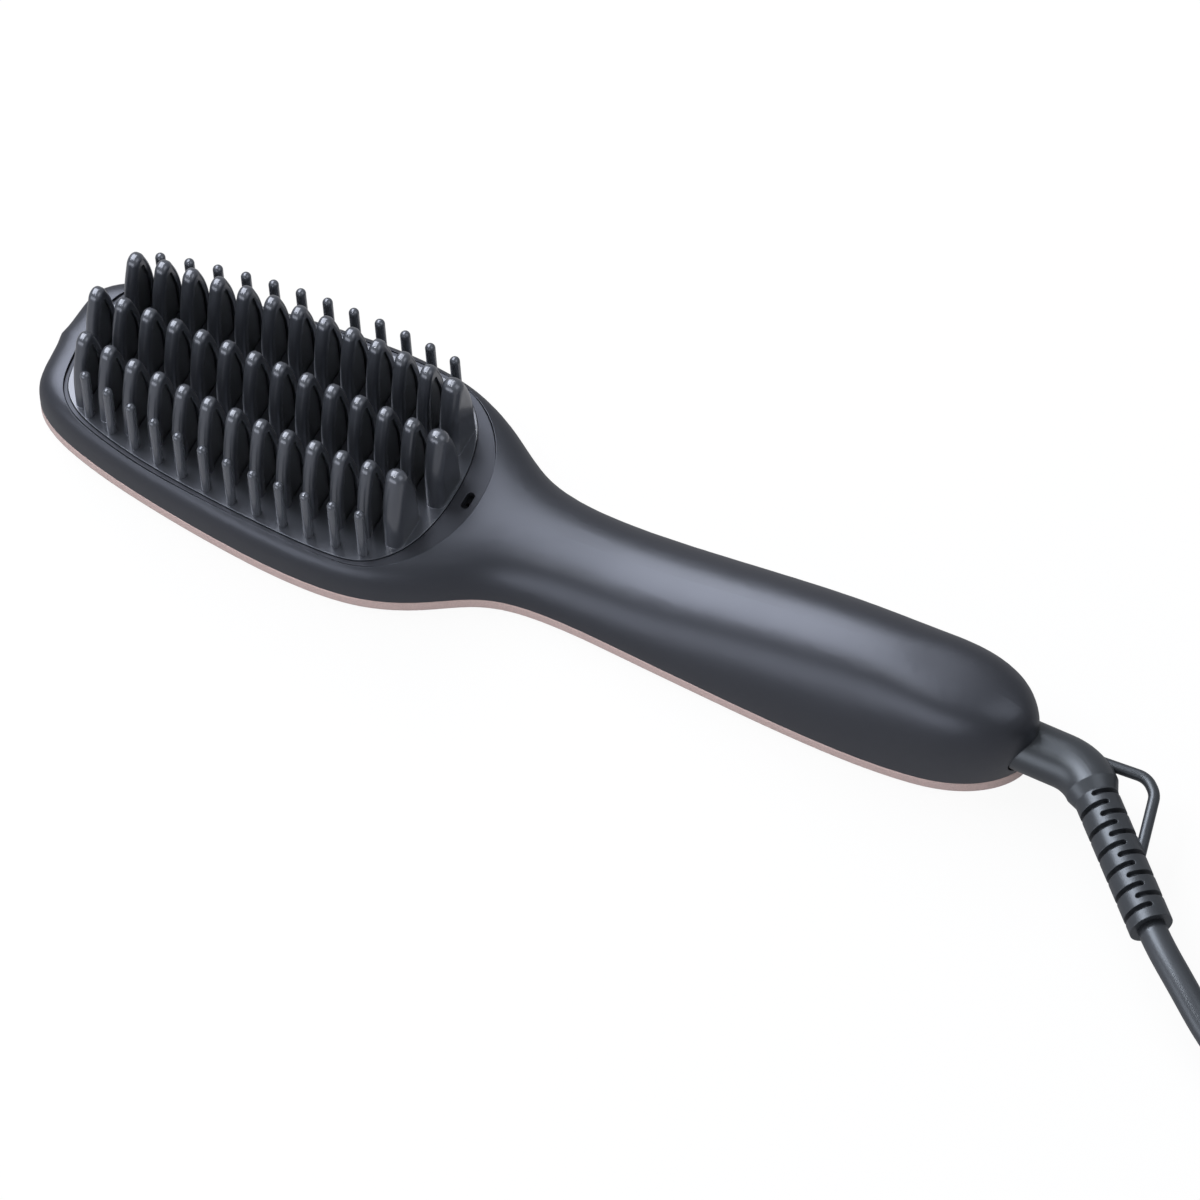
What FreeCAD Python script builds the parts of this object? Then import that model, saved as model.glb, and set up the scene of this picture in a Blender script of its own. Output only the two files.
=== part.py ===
import FreeCAD, Part
import math
import os

# A heated styling brush lying on its back, bristles up. Millimetres.
# X runs from the tip of the head to the tail, Z is up from the surface it lies on.
Vec = FreeCAD.Vector
os.makedirs("parts", exist_ok=True)

# Fits shared by all pieces
FIT = 0.15          # slip clearance between pieces that are put together
RUNNING = 0.05      # radial clearance of a turning fit
OVERRUN = 3.0       # how far a cut runs past the face it opens
NEAR = 0.0015       # two places closer than this are one
ALIGNED_SHARE = 0.9 # of a direction, for an edge that runs along it

# Body: four stretches from the tip to the tail, and the heights on the way
HEAD_REACH = 83.0        # tip to the widest place of the head
SHOULDER_REACH = 57.0    # widest place to the neck
GRIP_REACH = 72.0        # neck to the thickest place of the grip
TAIL_REACH = 48.0        # thickest place to the tail
HEAD_WIDTH = 64.0
NECK_WIDTH = 29.8
HANDLE_WIDTH = 34.2
HEAD_HEIGHT = 17.2
NECK_HEIGHT = 17.8
HANDLE_HEIGHT = 31.4
PARTING = 4.5            # height of the seam between shell and cover
WALL = 2.2

# Stations along the outline. Head: along, half width, rib foot on the spine, crown height, squareness.
HEAD_SHARES = [
    (0.0, 0.0, 0.36, 0.93, 1.0),
    (0.011, 0.266, 0.37, 0.93, 1.0),
    (0.029, 0.469, 0.385, 0.935, 1.0),
    (0.084, 0.606, 0.41, 0.945, 1.0),
    (0.205, 0.738, 0.47, 0.96, 1.0),
    (0.458, 0.878, 0.60, 0.985, 1.0),
    (0.723, 0.966, 0.79, 1.0, 1.0),
    (1.0, 1.0, 1.0, 1.0, 1.0),
]
# Shoulder: along, share of the way from neck to head width, share from head to neck height, squareness
SHOULDER_SHARES = [
    (0.254, 0.90, 0.0, 0.97),
    (0.5, 0.567, 0.0, 0.86),
    (0.719, 0.158, 0.25, 0.68),
    (1.0, 0.0, 1.0, 0.58),
]
# Grip: along, share from neck to handle width, share from neck to handle height, squareness
GRIP_SHARES = [
    (0.278, 0.2, 0.13, 0.58),
    (0.625, 0.7, 0.515, 0.60),
    (1.0, 1.0, 0.9, 0.62),
]
# Tail: along, half width, rib foot on the spine, crown height, squareness, belly
TAIL_SHARES = [
    (0.4375, 0.942, 0.312, 1.008, 0.69, 0.03),
    (0.708, 0.785, 0.41, 1.012, 0.81, 0.16),
    (0.875, 0.535, 0.44, 1.012, 0.90, 0.27),
    (0.965, 0.27, 0.449, 1.012, 0.94, 0.29),
    (1.0, 0.0, 0.452, 1.012, 0.94, 0.30),
]

# Comb pocket in the head, with the bezel ring round the comb plate
PLATE_PAST = 16.8        # comb plate longer than the head's first stretch
PLATE_LENGTH = HEAD_REACH + PLATE_PAST
PLATE_WIDTH = 56.2
TIP_MARGIN = 8.2         # tip of the head to the tip of the comb plate
BEZEL_RING = 1.0         # width of the bezel beside the plate
CRESCENT = 6.7           # width of the bezel at the handle end
PLATE_TOP = 15.2
PLATE_THICK = 2.2
BEZEL_DROP = 0.35        # bezel face below the plate face
LEDGE = 2.6              # width of the step the plate rests on
LEDGE_THICK = 2.0
PLATE_SHARES = [
    (0.0, 0.0), (0.005, 0.285), (0.022, 0.505), (0.063, 0.658), (0.138, 0.772), (0.289, 0.886),
    (0.459, 0.954), (0.649, 0.996), (0.79, 1.0), (0.885, 0.936), (0.945, 0.758), (0.987, 0.427),
    (1.0, 0.0),
]
POCKET_SHARES = [
    (0.0, 0.0), (0.0047, 0.285), (0.0214, 0.509), (0.0614, 0.667), (0.134, 0.777), (0.275, 0.89),
    (0.434, 0.955), (0.612, 0.997), (0.742, 1.0), (0.837, 0.945), (0.919, 0.749), (0.981, 0.395),
    (1.0, 0.0),
]

# Fins: arch frames round the heated blades
FIN_WIDTH = 11.5
FIN_HEIGHT = 25.0
FIN_THICK = 3.2
FIN_RIM = 2.4            # width of the arch beside its window
FIN_RIM_TIP_SHARE = 1.4  # of that width, over the top of the window
FIN_ROUND = 1.3
FIN_TIP_RADIUS = 2.4
FIN_SHOULDER_RADIUS = 44.0
FIN_ROOT = 0.6           # how far a fin is rooted in the plate
TIP_DROP = 1.4           # how much lower the fins stand at the tip
TIP_DROP_REACH = 60.0
CLOSED_FIN_THICK = 5.2
CLOSED_FIN_ROUND = 2.3
FIN_SHOULDER_SHARE = 0.57
FIN_WAIST_SHARE = 0.93
MIDDLE_FINS = 14
SIDE_FINS = 13
MIDDLE_END = 3.3         # last fin of the middle row to the plate's end
MIDDLE_START = 4.2       # plate tip to the first fin of the middle row
FIN_PITCH = (PLATE_LENGTH - MIDDLE_START - MIDDLE_END) / (MIDDLE_FINS - 1)
SIDE_SPREAD = 16.1       # side row to the axis at its widest
SIDE_BOW_SHARES = (0.776, 0.62, 1.0, 0.882)
BLADE_THICK = 1.9
BLADE_GAP = 0.2

# Pins along both edges of the comb
PIN_COUNT = 12
PIN_START = 10.8         # plate tip to the first pin
PIN_END = 12.0           # last pin to the plate's end
PIN_PITCH = (PLATE_LENGTH - PIN_START - PIN_END) / (PIN_COUNT - 1)
PIN_RADIUS = 1.25
PIN_HEIGHT = 18.0
PIN_SEAT = 1.4
PIN_SPREAD = 25.4
PIN_BOW_SHARES = (0.735, 0.727, 1.0, 0.945)

# Heater stack under the comb plate
HEATER_THICK = 2.6
HEATER_MARGIN = 3.9      # plate edge to heater edge
STACK_START = 23.8       # plate tip to the start of the strips
STACK_END = 22.0         # end of the strips to the plate's end
STRIP_LENGTH = PLATE_LENGTH - STACK_START - STACK_END
STRIP_WIDTH = 10.0
STRIP_THICK = 2.4
STRIP_SPREAD = 15.5
MICA_THICK = 0.5
CLAMP_THICK = 0.8
STACK_BORDER = 2.0       # mica and clamp past the strips
TRAY_THICK = 1.6
TRAY_BORDER = 6.0
TRAY_GAP = 1.1           # clamp to tray, filled by two ribs
TRAY_RIB = 3.0
TRAY_ROUND = 6.0
POST_RADIUS = 2.4
POST_GAP = 0.3
POST_SPREAD = 7.4
POST_MARGIN = 4.5        # end of the strips to the posts, inwards
SCREW_RADIUS = 1.25
SCREW_HEAD_RADIUS = 2.3
SCREW_HEAD = 1.5
SCREW_GRIP = 6.0         # thread held by a post
SCREW_PASS = 0.3         # clearance round a screw where it only passes
DRIVE_RADIUS = 0.9
DRIVE_DEPTH = 0.8
FUSE_RADIUS = 1.9
FUSE_LENGTH = 11.0
FUSE_LEAD = 0.4
FUSE_LEAD_LENGTH = 4.0
FUSE_SETBACK = 4.6       # end of the strips to the fuse
THERMISTOR_RADIUS = 1.3
THERMISTOR_LENGTH = 5.0
THERMISTOR_SPREAD = 10.5

# Ion outlet in the crescent
OUTLET_LENGTH = 4.8
OUTLET_WIDTH = 2.0
EMITTER_RADIUS = 2.2
EMITTER_FLANGE = 3.6
EMITTER_FLANGE_THICK = 1.2
NEEDLE_RADIUS = 0.5
NEEDLE_TAIL = 1.2

# Board in the handle and what it carries
BOARD_START = 10.0       # neck to the front edge of the board
BOARD_LENGTH = 74.0
BOARD_GAP = 3.0          # board edge to the wall at the neck
BOARD_WIDTH = NECK_WIDTH - 2 * WALL - 2 * BOARD_GAP
BOARD_THICK = 1.6
BOARD_HEIGHT = 9.5
BOARD_POST_RADIUS = 2.3
BOARD_POST_INSET = 6.0
BOARD_POST_SPREAD = 7.3
SWITCH_SIZE = 6.0
SWITCH_THICK = 2.6
SWITCH_PLUNGER = 1.7
LED_LENGTH = 2.0
LED_WIDTH = 1.3
LED_THICK = 0.8
LED_PITCH = 4.0
LED_COUNT = 3
ION_BOX_LENGTH = 24.0
ION_BOX_WIDTH = 15.0
ION_BOX_ROOM_SHARE = 0.4       # of the rise from neck to handle, over the box
ION_BOX_CLEARANCE = 0.95
ION_BOX_START = 32.0
ION_BOX_ROUND = 1.0
CAPACITOR_RADIUS = 2.5
CAPACITOR_LENGTH = 12.0
CAPACITOR_START = 14.0
CAPACITOR_SPREAD = 4.6
TRIAC_BLOCK = (10.0, 4.6, 3.6)
TRIAC_START = 15.0

# Back of the handle: buttons, light window and case screws
COVER_FLOOR = 2.0
COVER_ROUND = 1.5
LIP_HEIGHT = 0.9
LIP_THICK = 1.0
LIP_GAP = 0.5            # lip to the inside of the shell
LIP_START = 20.0         # tip to the start of the lip
LIP_END = 34.0           # tail to the end of the lip
BUTTON_RADIUS = 5.0
BUTTON_GAP = 0.2
BUTTON_SINK = 0.4        # face of the button below the back
BUTTON_DISH = 0.5
BUTTON_FLANGE = 1.1
BUTTON_FLANGE_THICK = 1.0
BUTTON_STEM = 1.6
BUTTON_TRAVEL = 0.7
BUTTON_ROUND = 0.5
BUTTON_STARTS = (32.0, 50.0)   # neck to each button
WINDOW_LENGTH = 12.0
WINDOW_WIDTH = 2.6
WINDOW_START = 64.0
WINDOW_SINK = 0.3
WINDOW_FLANGE = 1.2
CASE_POST_RADIUS = 3.2
CASE_HEAD_RADIUS = 2.7
CASE_HEAD = 1.7
CASE_SINK = 0.7
CASE_SCREW_RADIUS = 1.4
CASE_GRIP = 8.0
CASE_BOSS_WALL = 1.3
NECK_SCREW_START = 2.0   # neck to the front case screw
TAIL_SCREW_BACK = 27.0   # tail to the two rear case screws
TAIL_SCREW_SPREAD = 10.0

# Cord swivel in the tail
SWIVEL_HEIGHT = 12.0
BUSH_BACK = 17.0         # tail to the inner face of the bush
BUSH_LENGTH = 6.0
BUSH_RADIUS = 8.4
JOURNAL_RADIUS = 5.0
SWIVEL_END_PLAY = 0.2
COLLAR_RADIUS = 7.2
COLLAR_THICK = 2.2
SHAFT_RADIUS = 3.2
SHAFT_LENGTH = 14.6
SPIGOT_RADIUS = 4.0
SPIGOT_LENGTH = 12.0
WEB_THICK = 4.0
RING_WIDTH = 3.0
RING_RADII = (4.2, 4.8)
RING_STARTS = (3.0, 8.0)       # end of the shaft to each ring
SPRING_THICK = 0.4
SPRING_HEIGHT = 2.0
SPRING_SEAT = 4.0              # length soldered to the board
SPRING_CONTACT = 0.12
SPRING_PAST = 0.5

# Cord guard: elbow, ribbed relief and hang loop in one moulding
STUB_RADIUS = 6.5
STUB_HOLE_GAP = 0.4
ELBOW_PAST_TAIL = 15.1
ELBOW_BEND = 43.3              # degrees, sideways
ELBOW_CURVE = 14.0
RELIEF_REACH = 45.4            # from the elbow's corner to the end of the relief
RELIEF_RADIUS = 5.35
RELIEF_TAPER = 3.0
SLOT_COUNT = 12
SLOT_START = 8.9
SLOT_PITCH = 2.95
SLOT_WIDTH = 1.4
SLOT_DEPTH = 1.9
SLOT_PAST = 1.6                # each slot's round end past the relief's middle
LOOP_ROD = 1.4
LOOP_CURVE = 5.4
# Corners of the hang loop: along the relief, and out from its axis
LOOP_FOOT = (-0.9, 4.2)
LOOP_HEEL = (7.2, 13.1)
LOOP_TOE = (12.0, 13.2)
LOOP_END = (26.3, 4.2)

# Cord, coil, tie and plug
CORD_RADIUS = 3.5
TIE_THICK = 1.0
TIE_WIDTH = 9.0
TIE_GAP = 0.3
TIE_ROUND = 2.5
COIL_PITCH = 7.7
COIL_INNER = 28.0
COIL_TURNS = 7
COIL_ENTRY = 260.0             # degrees round the coil where the cord comes in
COIL_EXIT = 90.0
COIL_CENTRE = (281.0, -15.5)
COIL_STEP = 90.0               # degrees of each biarc
CLIMB = 180.0                  # degrees of the climb, centred on the reversal
TURN_DEGREES = 360.0
COIL_CHECKS = 24               # points measured on each quarter turn
CORD_FIRST_RUN = 8.0
CORD_POINTS = [
    (191.7, -42.1, 11.0), (201.2, -47.2, 8.4), (213.7, -53.0, 6.2), (230.5, -58.6, 5.2),
]
CORD_LAST_RUN = 20.0
BEND_SHARE = 0.45              # of the shorter run, taken up by the arc at its end
TAIL_RUN = 10.0
TAIL_DROP = 20.0
PLUG_LENGTH = 33.0
PLUG_WIDTH = 24.2
PLUG_THICK = 13.7
PLUG_REAR = 10.0
PLUG_ROUND = 3.0
PLUG_WAIST_SHARES = (0.0, 0.35, 1.0)
PLUG_WAY = -1.0                # the plug points back along the brush
PIN_SPACING = 18.6
PLUG_PIN_RADIUS = 2.0
PLUG_PIN_LENGTH = 19.0
PLUG_PIN_SEAT = 5.0
PLUG_PIN_SLEEVE = 9.0          # slimmer, insulated part of each pin next to the plug
PLUG_PIN_SLEEVE_RADIUS = 1.75

# Places worked out from the sizes above
LENGTH = HEAD_REACH + SHOULDER_REACH + GRIP_REACH + TAIL_REACH
TIP = -LENGTH / 2
WIDEST = TIP + HEAD_REACH
NECK = WIDEST + SHOULDER_REACH
GRIP = NECK + GRIP_REACH
TAIL = LENGTH / 2
PLATE_TIP = TIP + TIP_MARGIN
PLATE_END = PLATE_TIP + PLATE_LENGTH
POCKET_FLOOR = PLATE_TOP - PLATE_THICK
LEDGE_UNDER = POCKET_FLOOR - LEDGE_THICK
HEATER_UNDER = POCKET_FLOOR - HEATER_THICK
STRIP_UNDER = HEATER_UNDER - STRIP_THICK
MICA_UNDER = STRIP_UNDER - MICA_THICK
CLAMP_UNDER = MICA_UNDER - CLAMP_THICK
TRAY_TOP = CLAMP_UNDER - TRAY_GAP
TRAY_UNDER = TRAY_TOP - TRAY_THICK
STACK_X = PLATE_TIP + STACK_START
BOARD_X = NECK + BOARD_START
BOARD_TOP = BOARD_HEIGHT + BOARD_THICK
BUSH_X = TAIL - BUSH_BACK
STUB_X = BUSH_X + BUSH_LENGTH + SWIVEL_END_PLAY
SHAFT_X = BUSH_X - SWIVEL_END_PLAY - COLLAR_THICK - SHAFT_LENGTH
AXIS_X = Vec(1, 0, 0)
AXIS_Y = Vec(0, 1, 0)
AXIS_Z = Vec(0, 0, 1)
CORNER = Vec(TAIL + ELBOW_PAST_TAIL, 0, SWIVEL_HEIGHT)
TURN = math.radians(ELBOW_BEND)
ALONG = Vec(math.cos(TURN), -math.sin(TURN), 0)
OUTWARD = Vec(math.sin(TURN), math.cos(TURN), 0)


def save(name, shape):
    """Write one piece, after a check that its solids are sound."""
    if not shape.isValid():
        print("not valid:", name)
    shape.exportStep("parts/" + name + ".step")
    print(name, len(shape.Solids), "solids", round(shape.Volume, 1), "mm3")


def box(low, high):
    """A block between two opposite corners."""
    size = high.sub(low)
    return Part.makeBox(size.x, size.y, size.z, low)


def block(centre_x, centre_y, base, size):
    """A block standing on a height, centred in plan."""
    corner = Vec(centre_x - size[0] / 2, centre_y - size[1] / 2, base)
    return Part.makeBox(size[0], size[1], size[2], corner)


def rod(radius, start, end):
    """A round bar between two points."""
    line = end.sub(start)
    return Part.makeCylinder(radius, line.Length, start, line)


def post(radius, x, y, base, top):
    return rod(radius, Vec(x, y, base), Vec(x, y, top))


def edges_at(shape, height):
    """Edges of a shape that lie flat at a height."""
    return [e for e in shape.Edges if all(abs(v.Z - height) < NEAR for v in e.Vertexes)]


def edges_along(shape, axis):
    """Straight edges of a shape that run along an axis."""
    return [e for e in shape.Edges if abs(e.tangentAt(0).dot(axis)) > ALIGNED_SHARE]


def closed(half):
    """A half outline from tip to tail, with its mirror image added."""
    return half + [Vec(p.x, -p.y, p.z) for p in reversed(half[1:-1])]


def inset(half, distance):
    """A half outline moved inwards by a distance all round."""
    ring = closed(half)
    moved = []
    for i in range(len(half)):
        run = ring[(i + 1) % len(ring)].sub(ring[i - 1])
        normal = Vec(run.y, -run.x, 0).normalize()
        moved.append(half[i].add(normal.multiply(distance)))
    return moved


def half_outline(shares, start, length, width):
    return [Vec(start + a * length, w * width / 2, 0) for a, w in shares]


def round_wire(half, height):
    """A smooth closed line through a half outline and its mirror image, at a height."""
    curve = Part.BSplineCurve()
    curve.interpolate(Points=closed(half), PeriodicFlag=True)
    far = curve.parameter(half[-1])
    going = curve.copy()
    going.segment(curve.FirstParameter, far)
    coming = curve.copy()
    coming.segment(far, curve.LastParameter)
    wire = Part.Wire([going.toShape(), coming.toShape()])
    wire.translate(Vec(0, 0, height))
    return wire


def slab(half, base, top):
    """A flat piece with a smooth outline between two heights."""
    return Part.Face(round_wire(half, base)).extrude(Vec(0, 0, top - base))


def body_stations():
    """Edge point, spine point, squareness and belly of each rib of the body, from tip to tail."""
    found = []
    head_rise = HEAD_HEIGHT - PARTING
    for along, width, foot, crown, square in HEAD_SHARES:
        edge = Vec(TIP + along * HEAD_REACH, width * HEAD_WIDTH / 2, PARTING)
        found.append((edge, Vec(TIP + foot * HEAD_REACH, 0, PARTING + crown * head_rise), square, 0))
    for along, width, rise, square in SHOULDER_SHARES:
        x = WIDEST + along * SHOULDER_REACH
        half = (NECK_WIDTH + width * (HEAD_WIDTH - NECK_WIDTH)) / 2
        crown = HEAD_HEIGHT + rise * (NECK_HEIGHT - HEAD_HEIGHT)
        found.append((Vec(x, half, PARTING), Vec(x, 0, crown), square, 0))
    for along, width, rise, square in GRIP_SHARES:
        x = NECK + along * GRIP_REACH
        half = (NECK_WIDTH + width * (HANDLE_WIDTH - NECK_WIDTH)) / 2
        crown = NECK_HEIGHT + rise * (HANDLE_HEIGHT - NECK_HEIGHT)
        found.append((Vec(x, half, PARTING), Vec(x, 0, crown), square, 0))
    for along, width, foot, crown, square, belly in TAIL_SHARES:
        edge = Vec(GRIP + along * TAIL_REACH, width * HANDLE_WIDTH / 2, PARTING)
        found.append((edge, Vec(GRIP + foot * TAIL_REACH, 0, crown * HANDLE_HEIGHT), square, belly))
    return found


def hollow_stations(stations):
    """The same ribs a wall further in. In the head the hollow ends under the comb ledge."""
    edges = inset([station[0] for station in stations], WALL)
    found = []
    for edge, (outer, spine, square, belly) in zip(edges, stations):
        over_comb = outer.x < WIDEST + SHOULDER_REACH * (1 - SHOULDER_SHARES[1][0])
        crown = LEDGE_UNDER if over_comb else spine.z - WALL
        found.append((edge, Vec(spine.x, 0, crown), square, belly))
    return found


def skin(stations, base):
    """A smooth solid over ribs. Each rises from the edge, swells by its belly and meets the spine level."""
    ribs = []
    for edge, spine, square, belly in stations:
        foot = Vec(edge.x, edge.y, base)
        swell = edge.add(edge.sub(Vec(spine.x, 0, edge.z)).multiply(belly))
        upright = Vec(swell.x, swell.y, PARTING + square * (spine.z - PARTING))
        reach = spine.x + square * (edge.x - spine.x)
        ribs.append([foot, upright, Vec(reach, square * edge.y, spine.z), spine])
    ring = closed([rib[0] for rib in ribs])
    places = [0.0]
    for i in range(len(ring)):
        places.append(places[-1] + ring[(i + 1) % len(ring)].sub(ring[i]).Length)
    rows = []
    for j in range(len(ribs[0])):
        row = Part.BSplineCurve()
        row.interpolate(Points=closed([rib[j] for rib in ribs]), PeriodicFlag=True, Parameters=places)
        row.segment(places[0], places[len(ribs) - 1])
        rows.append(row)
    poles = [list(across) for across in zip(*[row.getPoles() for row in rows])]
    surface = Part.BSplineSurface()
    order = len(rows)
    surface.buildFromPolesMultsKnots(
        poles, rows[0].getMultiplicities(), [order, order], rows[0].getKnots(), [0, 1],
        False, False, rows[0].Degree, order - 1)
    right = surface.toShape()
    left = right.mirror(Vec(0, 0, 0), Vec(0, 1, 0))
    edge = rows[0].toShape()
    floor = Part.Face(Part.Wire([edge, edge.mirror(Vec(0, 0, 0), Vec(0, 1, 0))]))
    shell = Part.makeShell([right, left, floor])
    shell.sewShape()
    solid = Part.makeSolid(shell)
    if solid.Volume < 0:
        solid.reverse()
    return solid


def screw(x, y, head_base, head, head_radius, radius, tip):
    """A pan head screw driven upwards, with a round drive recess."""
    shape = post(head_radius, x, y, head_base, head_base + head)
    shape = shape.fuse(post(radius, x, y, head_base + head, tip))
    return shape.cut(post(DRIVE_RADIUS, x, y, head_base - OVERRUN, head_base + DRIVE_DEPTH))


# Body halves
STATIONS = body_stations()
BODY_HALF = [Vec(station[0].x, station[0].y, 0) for station in STATIONS]
PLATE_HALF = half_outline(PLATE_SHARES, PLATE_TIP, PLATE_LENGTH, PLATE_WIDTH)
POCKET_LENGTH = PLATE_LENGTH + BEZEL_RING + CRESCENT
POCKET_HALF = half_outline(
    POCKET_SHARES, PLATE_TIP - BEZEL_RING, POCKET_LENGTH, PLATE_WIDTH + 2 * BEZEL_RING)
OUTLET_X = PLATE_END + CRESCENT / 2
CASE_SCREWS = [
    (NECK + NECK_SCREW_START, 0),
    (TAIL - TAIL_SCREW_BACK, TAIL_SCREW_SPREAD),
    (TAIL - TAIL_SCREW_BACK, -TAIL_SCREW_SPREAD),
]
BOARD_POSTS = [
    (x, y * BOARD_POST_SPREAD)
    for x in (BOARD_X + BOARD_POST_INSET, BOARD_X + BOARD_LENGTH - BOARD_POST_INSET)
    for y in (-1, 1)
]


def upper_shell():
    """Satin black moulding: head rim, neck and grip, hollow, with posts and the bush web inside."""
    outer = skin(STATIONS, PARTING)
    hollow = skin(hollow_stations(STATIONS), PARTING - OVERRUN)
    posts = [post(CASE_POST_RADIUS, x, y, PARTING, HANDLE_HEIGHT) for x, y in CASE_SCREWS]
    posts += [post(BOARD_POST_RADIUS, x, y, BOARD_TOP, HANDLE_HEIGHT) for x, y in BOARD_POSTS]
    web_x = BUSH_X + (BUSH_LENGTH - WEB_THICK) / 2
    half = HANDLE_WIDTH / 2
    web = box(Vec(web_x, -half, PARTING), Vec(web_x + WEB_THICK, half, HANDLE_HEIGHT))
    bush = rod(BUSH_RADIUS, Vec(web_x - OVERRUN, 0, SWIVEL_HEIGHT), Vec(STUB_X, 0, SWIVEL_HEIGHT))
    slot = box(
        Vec(web_x - OVERRUN, -BUSH_RADIUS, PARTING - OVERRUN), Vec(STUB_X, BUSH_RADIUS, SWIVEL_HEIGHT))
    inside = Part.Compound([p for p in posts] + [web.cut(bush).cut(slot)])
    inside = inside.common(hollow)
    shell = outer.cut(hollow).fuse(inside.Solids)
    shell = shell.cut(slab(POCKET_HALF, POCKET_FLOOR, HANDLE_HEIGHT))
    shell = shell.cut(slab(inset(PLATE_HALF, LEDGE), PARTING, HANDLE_HEIGHT))
    stub = rod(
        STUB_RADIUS + STUB_HOLE_GAP, Vec(web_x + WEB_THICK, 0, SWIVEL_HEIGHT),
        Vec(TAIL + OVERRUN, 0, SWIVEL_HEIGHT))
    shell = shell.cut(stub)
    shell = shell.cut(post(EMITTER_RADIUS + FIT, OUTLET_X, 0, PARTING, HANDLE_HEIGHT))
    shell = shell.cut(post(EMITTER_FLANGE + FIT, OUTLET_X, 0, PARTING, LEDGE_UNDER))
    for x, y in CASE_SCREWS:
        shell = shell.cut(post(CASE_SCREW_RADIUS + RUNNING, x, y, PARTING - OVERRUN, PARTING + CASE_GRIP))
    for x, y in BOARD_POSTS:
        hole = post(SCREW_RADIUS + RUNNING, x, y, BOARD_TOP - OVERRUN, BOARD_TOP + SCREW_GRIP / 2)
        shell = shell.cut(hole)
    return shell


def rear_cover():
    """Rose gold tray with a rounded lower edge, a locating lip, bosses and the back's openings."""
    tray = slab(BODY_HALF, 0, PARTING)
    tray = tray.makeFillet(COVER_ROUND, edges_at(tray, 0))
    tray = tray.cut(slab(inset(BODY_HALF, WALL), COVER_FLOOR, PARTING + OVERRUN))
    lip = slab(inset(BODY_HALF, WALL + LIP_GAP), COVER_FLOOR, PARTING + LIP_HEIGHT)
    lip = lip.cut(slab(inset(BODY_HALF, WALL + LIP_GAP + LIP_THICK), COVER_FLOOR, PARTING + LIP_HEIGHT))
    span = box(
        Vec(TIP + LIP_START, -HEAD_WIDTH, COVER_FLOOR), Vec(TAIL - LIP_END, HEAD_WIDTH, HANDLE_HEIGHT))
    tray = tray.fuse(lip.common(span).Solids)
    bush_rest = block(BUSH_X + BUSH_LENGTH / 2, 0, COVER_FLOOR, (
        WEB_THICK, BUSH_RADIUS, SWIVEL_HEIGHT - BUSH_RADIUS - COVER_FLOOR + RUNNING))
    bush = rod(BUSH_RADIUS + RUNNING, Vec(BUSH_X, 0, SWIVEL_HEIGHT), Vec(STUB_X, 0, SWIVEL_HEIGHT))
    tray = tray.fuse(bush_rest.cut(bush))
    for x, y in CASE_SCREWS:
        tray = tray.fuse(post(CASE_HEAD_RADIUS + FIT + CASE_BOSS_WALL, x, y, COVER_FLOOR / 2, PARTING))
    for x, y in CASE_SCREWS:
        tray = tray.cut(post(CASE_HEAD_RADIUS + FIT, x, y, -OVERRUN, CASE_SINK + CASE_HEAD))
        tray = tray.cut(post(CASE_SCREW_RADIUS + SCREW_PASS, x, y, 0, PARTING + OVERRUN))
    for start in BUTTON_STARTS:
        tray = tray.cut(post(BUTTON_RADIUS + BUTTON_GAP, NECK + start, 0, -OVERRUN, PARTING))
    window = oval(NECK + WINDOW_START, WINDOW_LENGTH + 2 * FIT, WINDOW_WIDTH + 2 * FIT, -OVERRUN, PARTING)
    return tray.cut(window)


def oval(x, length, width, base, top):
    """A flat piece with round ends along X."""
    half = (length - width) / 2
    bar = post(width / 2, x - half, 0, base, top).fuse(post(width / 2, x + half, 0, base, top))
    return bar.fuse(block(x, 0, base, (2 * half, width, top - base))).removeSplitter()


def head_bezel():
    """Ring round the comb plate, wide at the handle end where the ion outlet is."""
    top = PLATE_TOP - BEZEL_DROP
    ring = slab(inset(POCKET_HALF, FIT), POCKET_FLOOR, top)
    ring = ring.cut(slab(PLATE_HALF, POCKET_FLOOR - OVERRUN, top + OVERRUN))
    bar = (OUTLET_LENGTH - OUTLET_WIDTH) / 2
    outlet = post(OUTLET_WIDTH / 2, OUTLET_X, -bar, POCKET_FLOOR - OVERRUN, top + OVERRUN)
    outlet = outlet.fuse(post(OUTLET_WIDTH / 2, OUTLET_X, bar, POCKET_FLOOR - OVERRUN, top + OVERRUN))
    outlet = outlet.fuse(block(
        OUTLET_X, 0, POCKET_FLOOR - OVERRUN, (OUTLET_WIDTH, 2 * bar, top - POCKET_FLOOR + 2 * OVERRUN)))
    return ring.cut(outlet)


def arch(width, height, tip_radius, round_radius, thick, root):
    """A pointed arch standing across the axis: straight sides that curve in to a round tip."""
    half = width / 2
    waist = half * FIN_WAIST_SHARE
    shoulder = height * FIN_SHOULDER_SHARE
    centre = height - tip_radius
    reach = math.hypot(waist, centre - shoulder)
    lean = math.acos(tip_radius / reach) - math.atan2(centre - shoulder, waist)
    side = tip_radius * math.cos(lean)
    touch = centre + tip_radius * math.sin(lean)
    corners = [
        (-side, touch), (-waist, shoulder), (-half, -root), (half, -root), (waist, shoulder), (side, touch)]
    points = [Vec(-thick / 2, y, z) for y, z in corners]
    edges = [Part.LineSegment(a, b).toShape() for a, b in zip(points, points[1:])]
    tip = Part.Arc(points[-1], Vec(-thick / 2, 0, height), points[0]).toShape()
    solid = Part.Face(Part.Wire(edges + [tip])).extrude(Vec(thick, 0, 0))
    shoulders = [
        e for e in solid.Edges
        if len(e.Vertexes) == 2 and all(abs(v.Z - shoulder) < NEAR for v in e.Vertexes)]
    return solid.makeFillet(round_radius, shoulders)


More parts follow.
